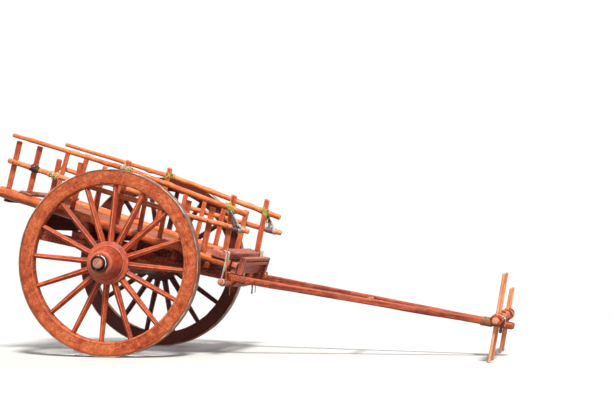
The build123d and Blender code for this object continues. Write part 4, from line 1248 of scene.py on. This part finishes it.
# Camera, as far and as high as the photograph's
camera = placed("camera", bpy.data.cameras.new("camera"))
camera.data.sensor_width = 36
camera.data.lens = 89.24
camera.location = (AXLE.x + 3.73, -11.44, 0.82)
heading = Vector((-0.2028, 0.9792, math.tan(math.radians(1.62))))
camera.rotation_euler = heading.to_track_quat("-Z", "Y").to_euler()
bpy.context.scene.camera = camera

# Studio: a white surround, and a pale ground that throws little light back up
WHITE = (1, 1, 1, 1)
GROUND = (0.80, 0.785, 0.765, 1)
GROUND_BOUNCE = (0.25, 0.23, 0.215, 1)
GROUND_HALF = 60
FADE_FROM, FADE_TO = 1.6, 9.0
SKY = (0.93, 0.96, 1.0, 1)
SKY_STRENGTH = 0.31


def make_floor():
    """Ground that keeps the cart's shadow and fades into the white surround."""
    s = new_material("studio_floor")
    place = s.node("NewGeometry", {}).outputs["Position"]
    away = s.node("VectorMath", {0: place}, operation="LENGTH").outputs["Value"]
    fade = s.node("MapRange", {"Value": away, "From Min": FADE_FROM, "From Max": FADE_TO},
                  interpolation_type="SMOOTHERSTEP").outputs["Result"]
    bounced = s.node("LightPath", {}).outputs["Is Diffuse Ray"]
    s.set(Base_Color=s.mix(bounced, GROUND, GROUND_BOUNCE), Roughness=0.9, Specular_IOR_Level=0.1)
    glow = s.node("Emission", {"Color": WHITE, "Strength": 1.0})
    s.show(s.times(fade, s.seen()), s.tree.nodes["Principled BSDF"], glow)
    corners = [(x * GROUND_HALF, y * GROUND_HALF, 0) for x, y in ((-1, -1), (1, -1), (1, 1), (-1, 1))]
    mesh = mesh_of("studio_floor", corners, [(0, 1, 2, 3)])
    mesh.materials.append(s.block)
    floor = placed("studio_floor", mesh)


def make_world():
    """Soft even light; white where the camera, metal or glass looks past the floor."""
    s = Shader(bpy.data.worlds.new("studio"))
    bpy.context.scene.world = s.block
    soft = s.tree.nodes["Background"]
    s.put(soft.inputs["Color"], SKY)
    s.put(soft.inputs["Strength"], SKY_STRENGTH)
    s.show(s.seen(), soft, s.node("Background", {"Color": WHITE}))


make_floor()
make_world()
# Lamps far off: (name, way from the cart to the lamp, strength, width in degrees, colour)
for name, towards, strength, width, colour in (
        ("key", (0.24, -0.56, 0.79), 3.95, 10, (1, 0.975, 0.94)),
        ("fill", (-0.8, -0.5, 0.35), 0.35, 60, (0.95, 0.97, 1)),
        ("rim", (0.2, 0.8, 0.6), 0.5, 50, (0.97, 0.98, 1))):
    lamp = placed(name, bpy.data.lights.new(name, "SUN"))
    lamp.data.energy = strength
    lamp.data.angle = math.radians(width)
    lamp.data.color = colour
    lamp.rotation_euler = Vector(towards).to_track_quat("Z", "Y").to_euler()
bpy.context.scene.view_settings.view_transform = "Standard"
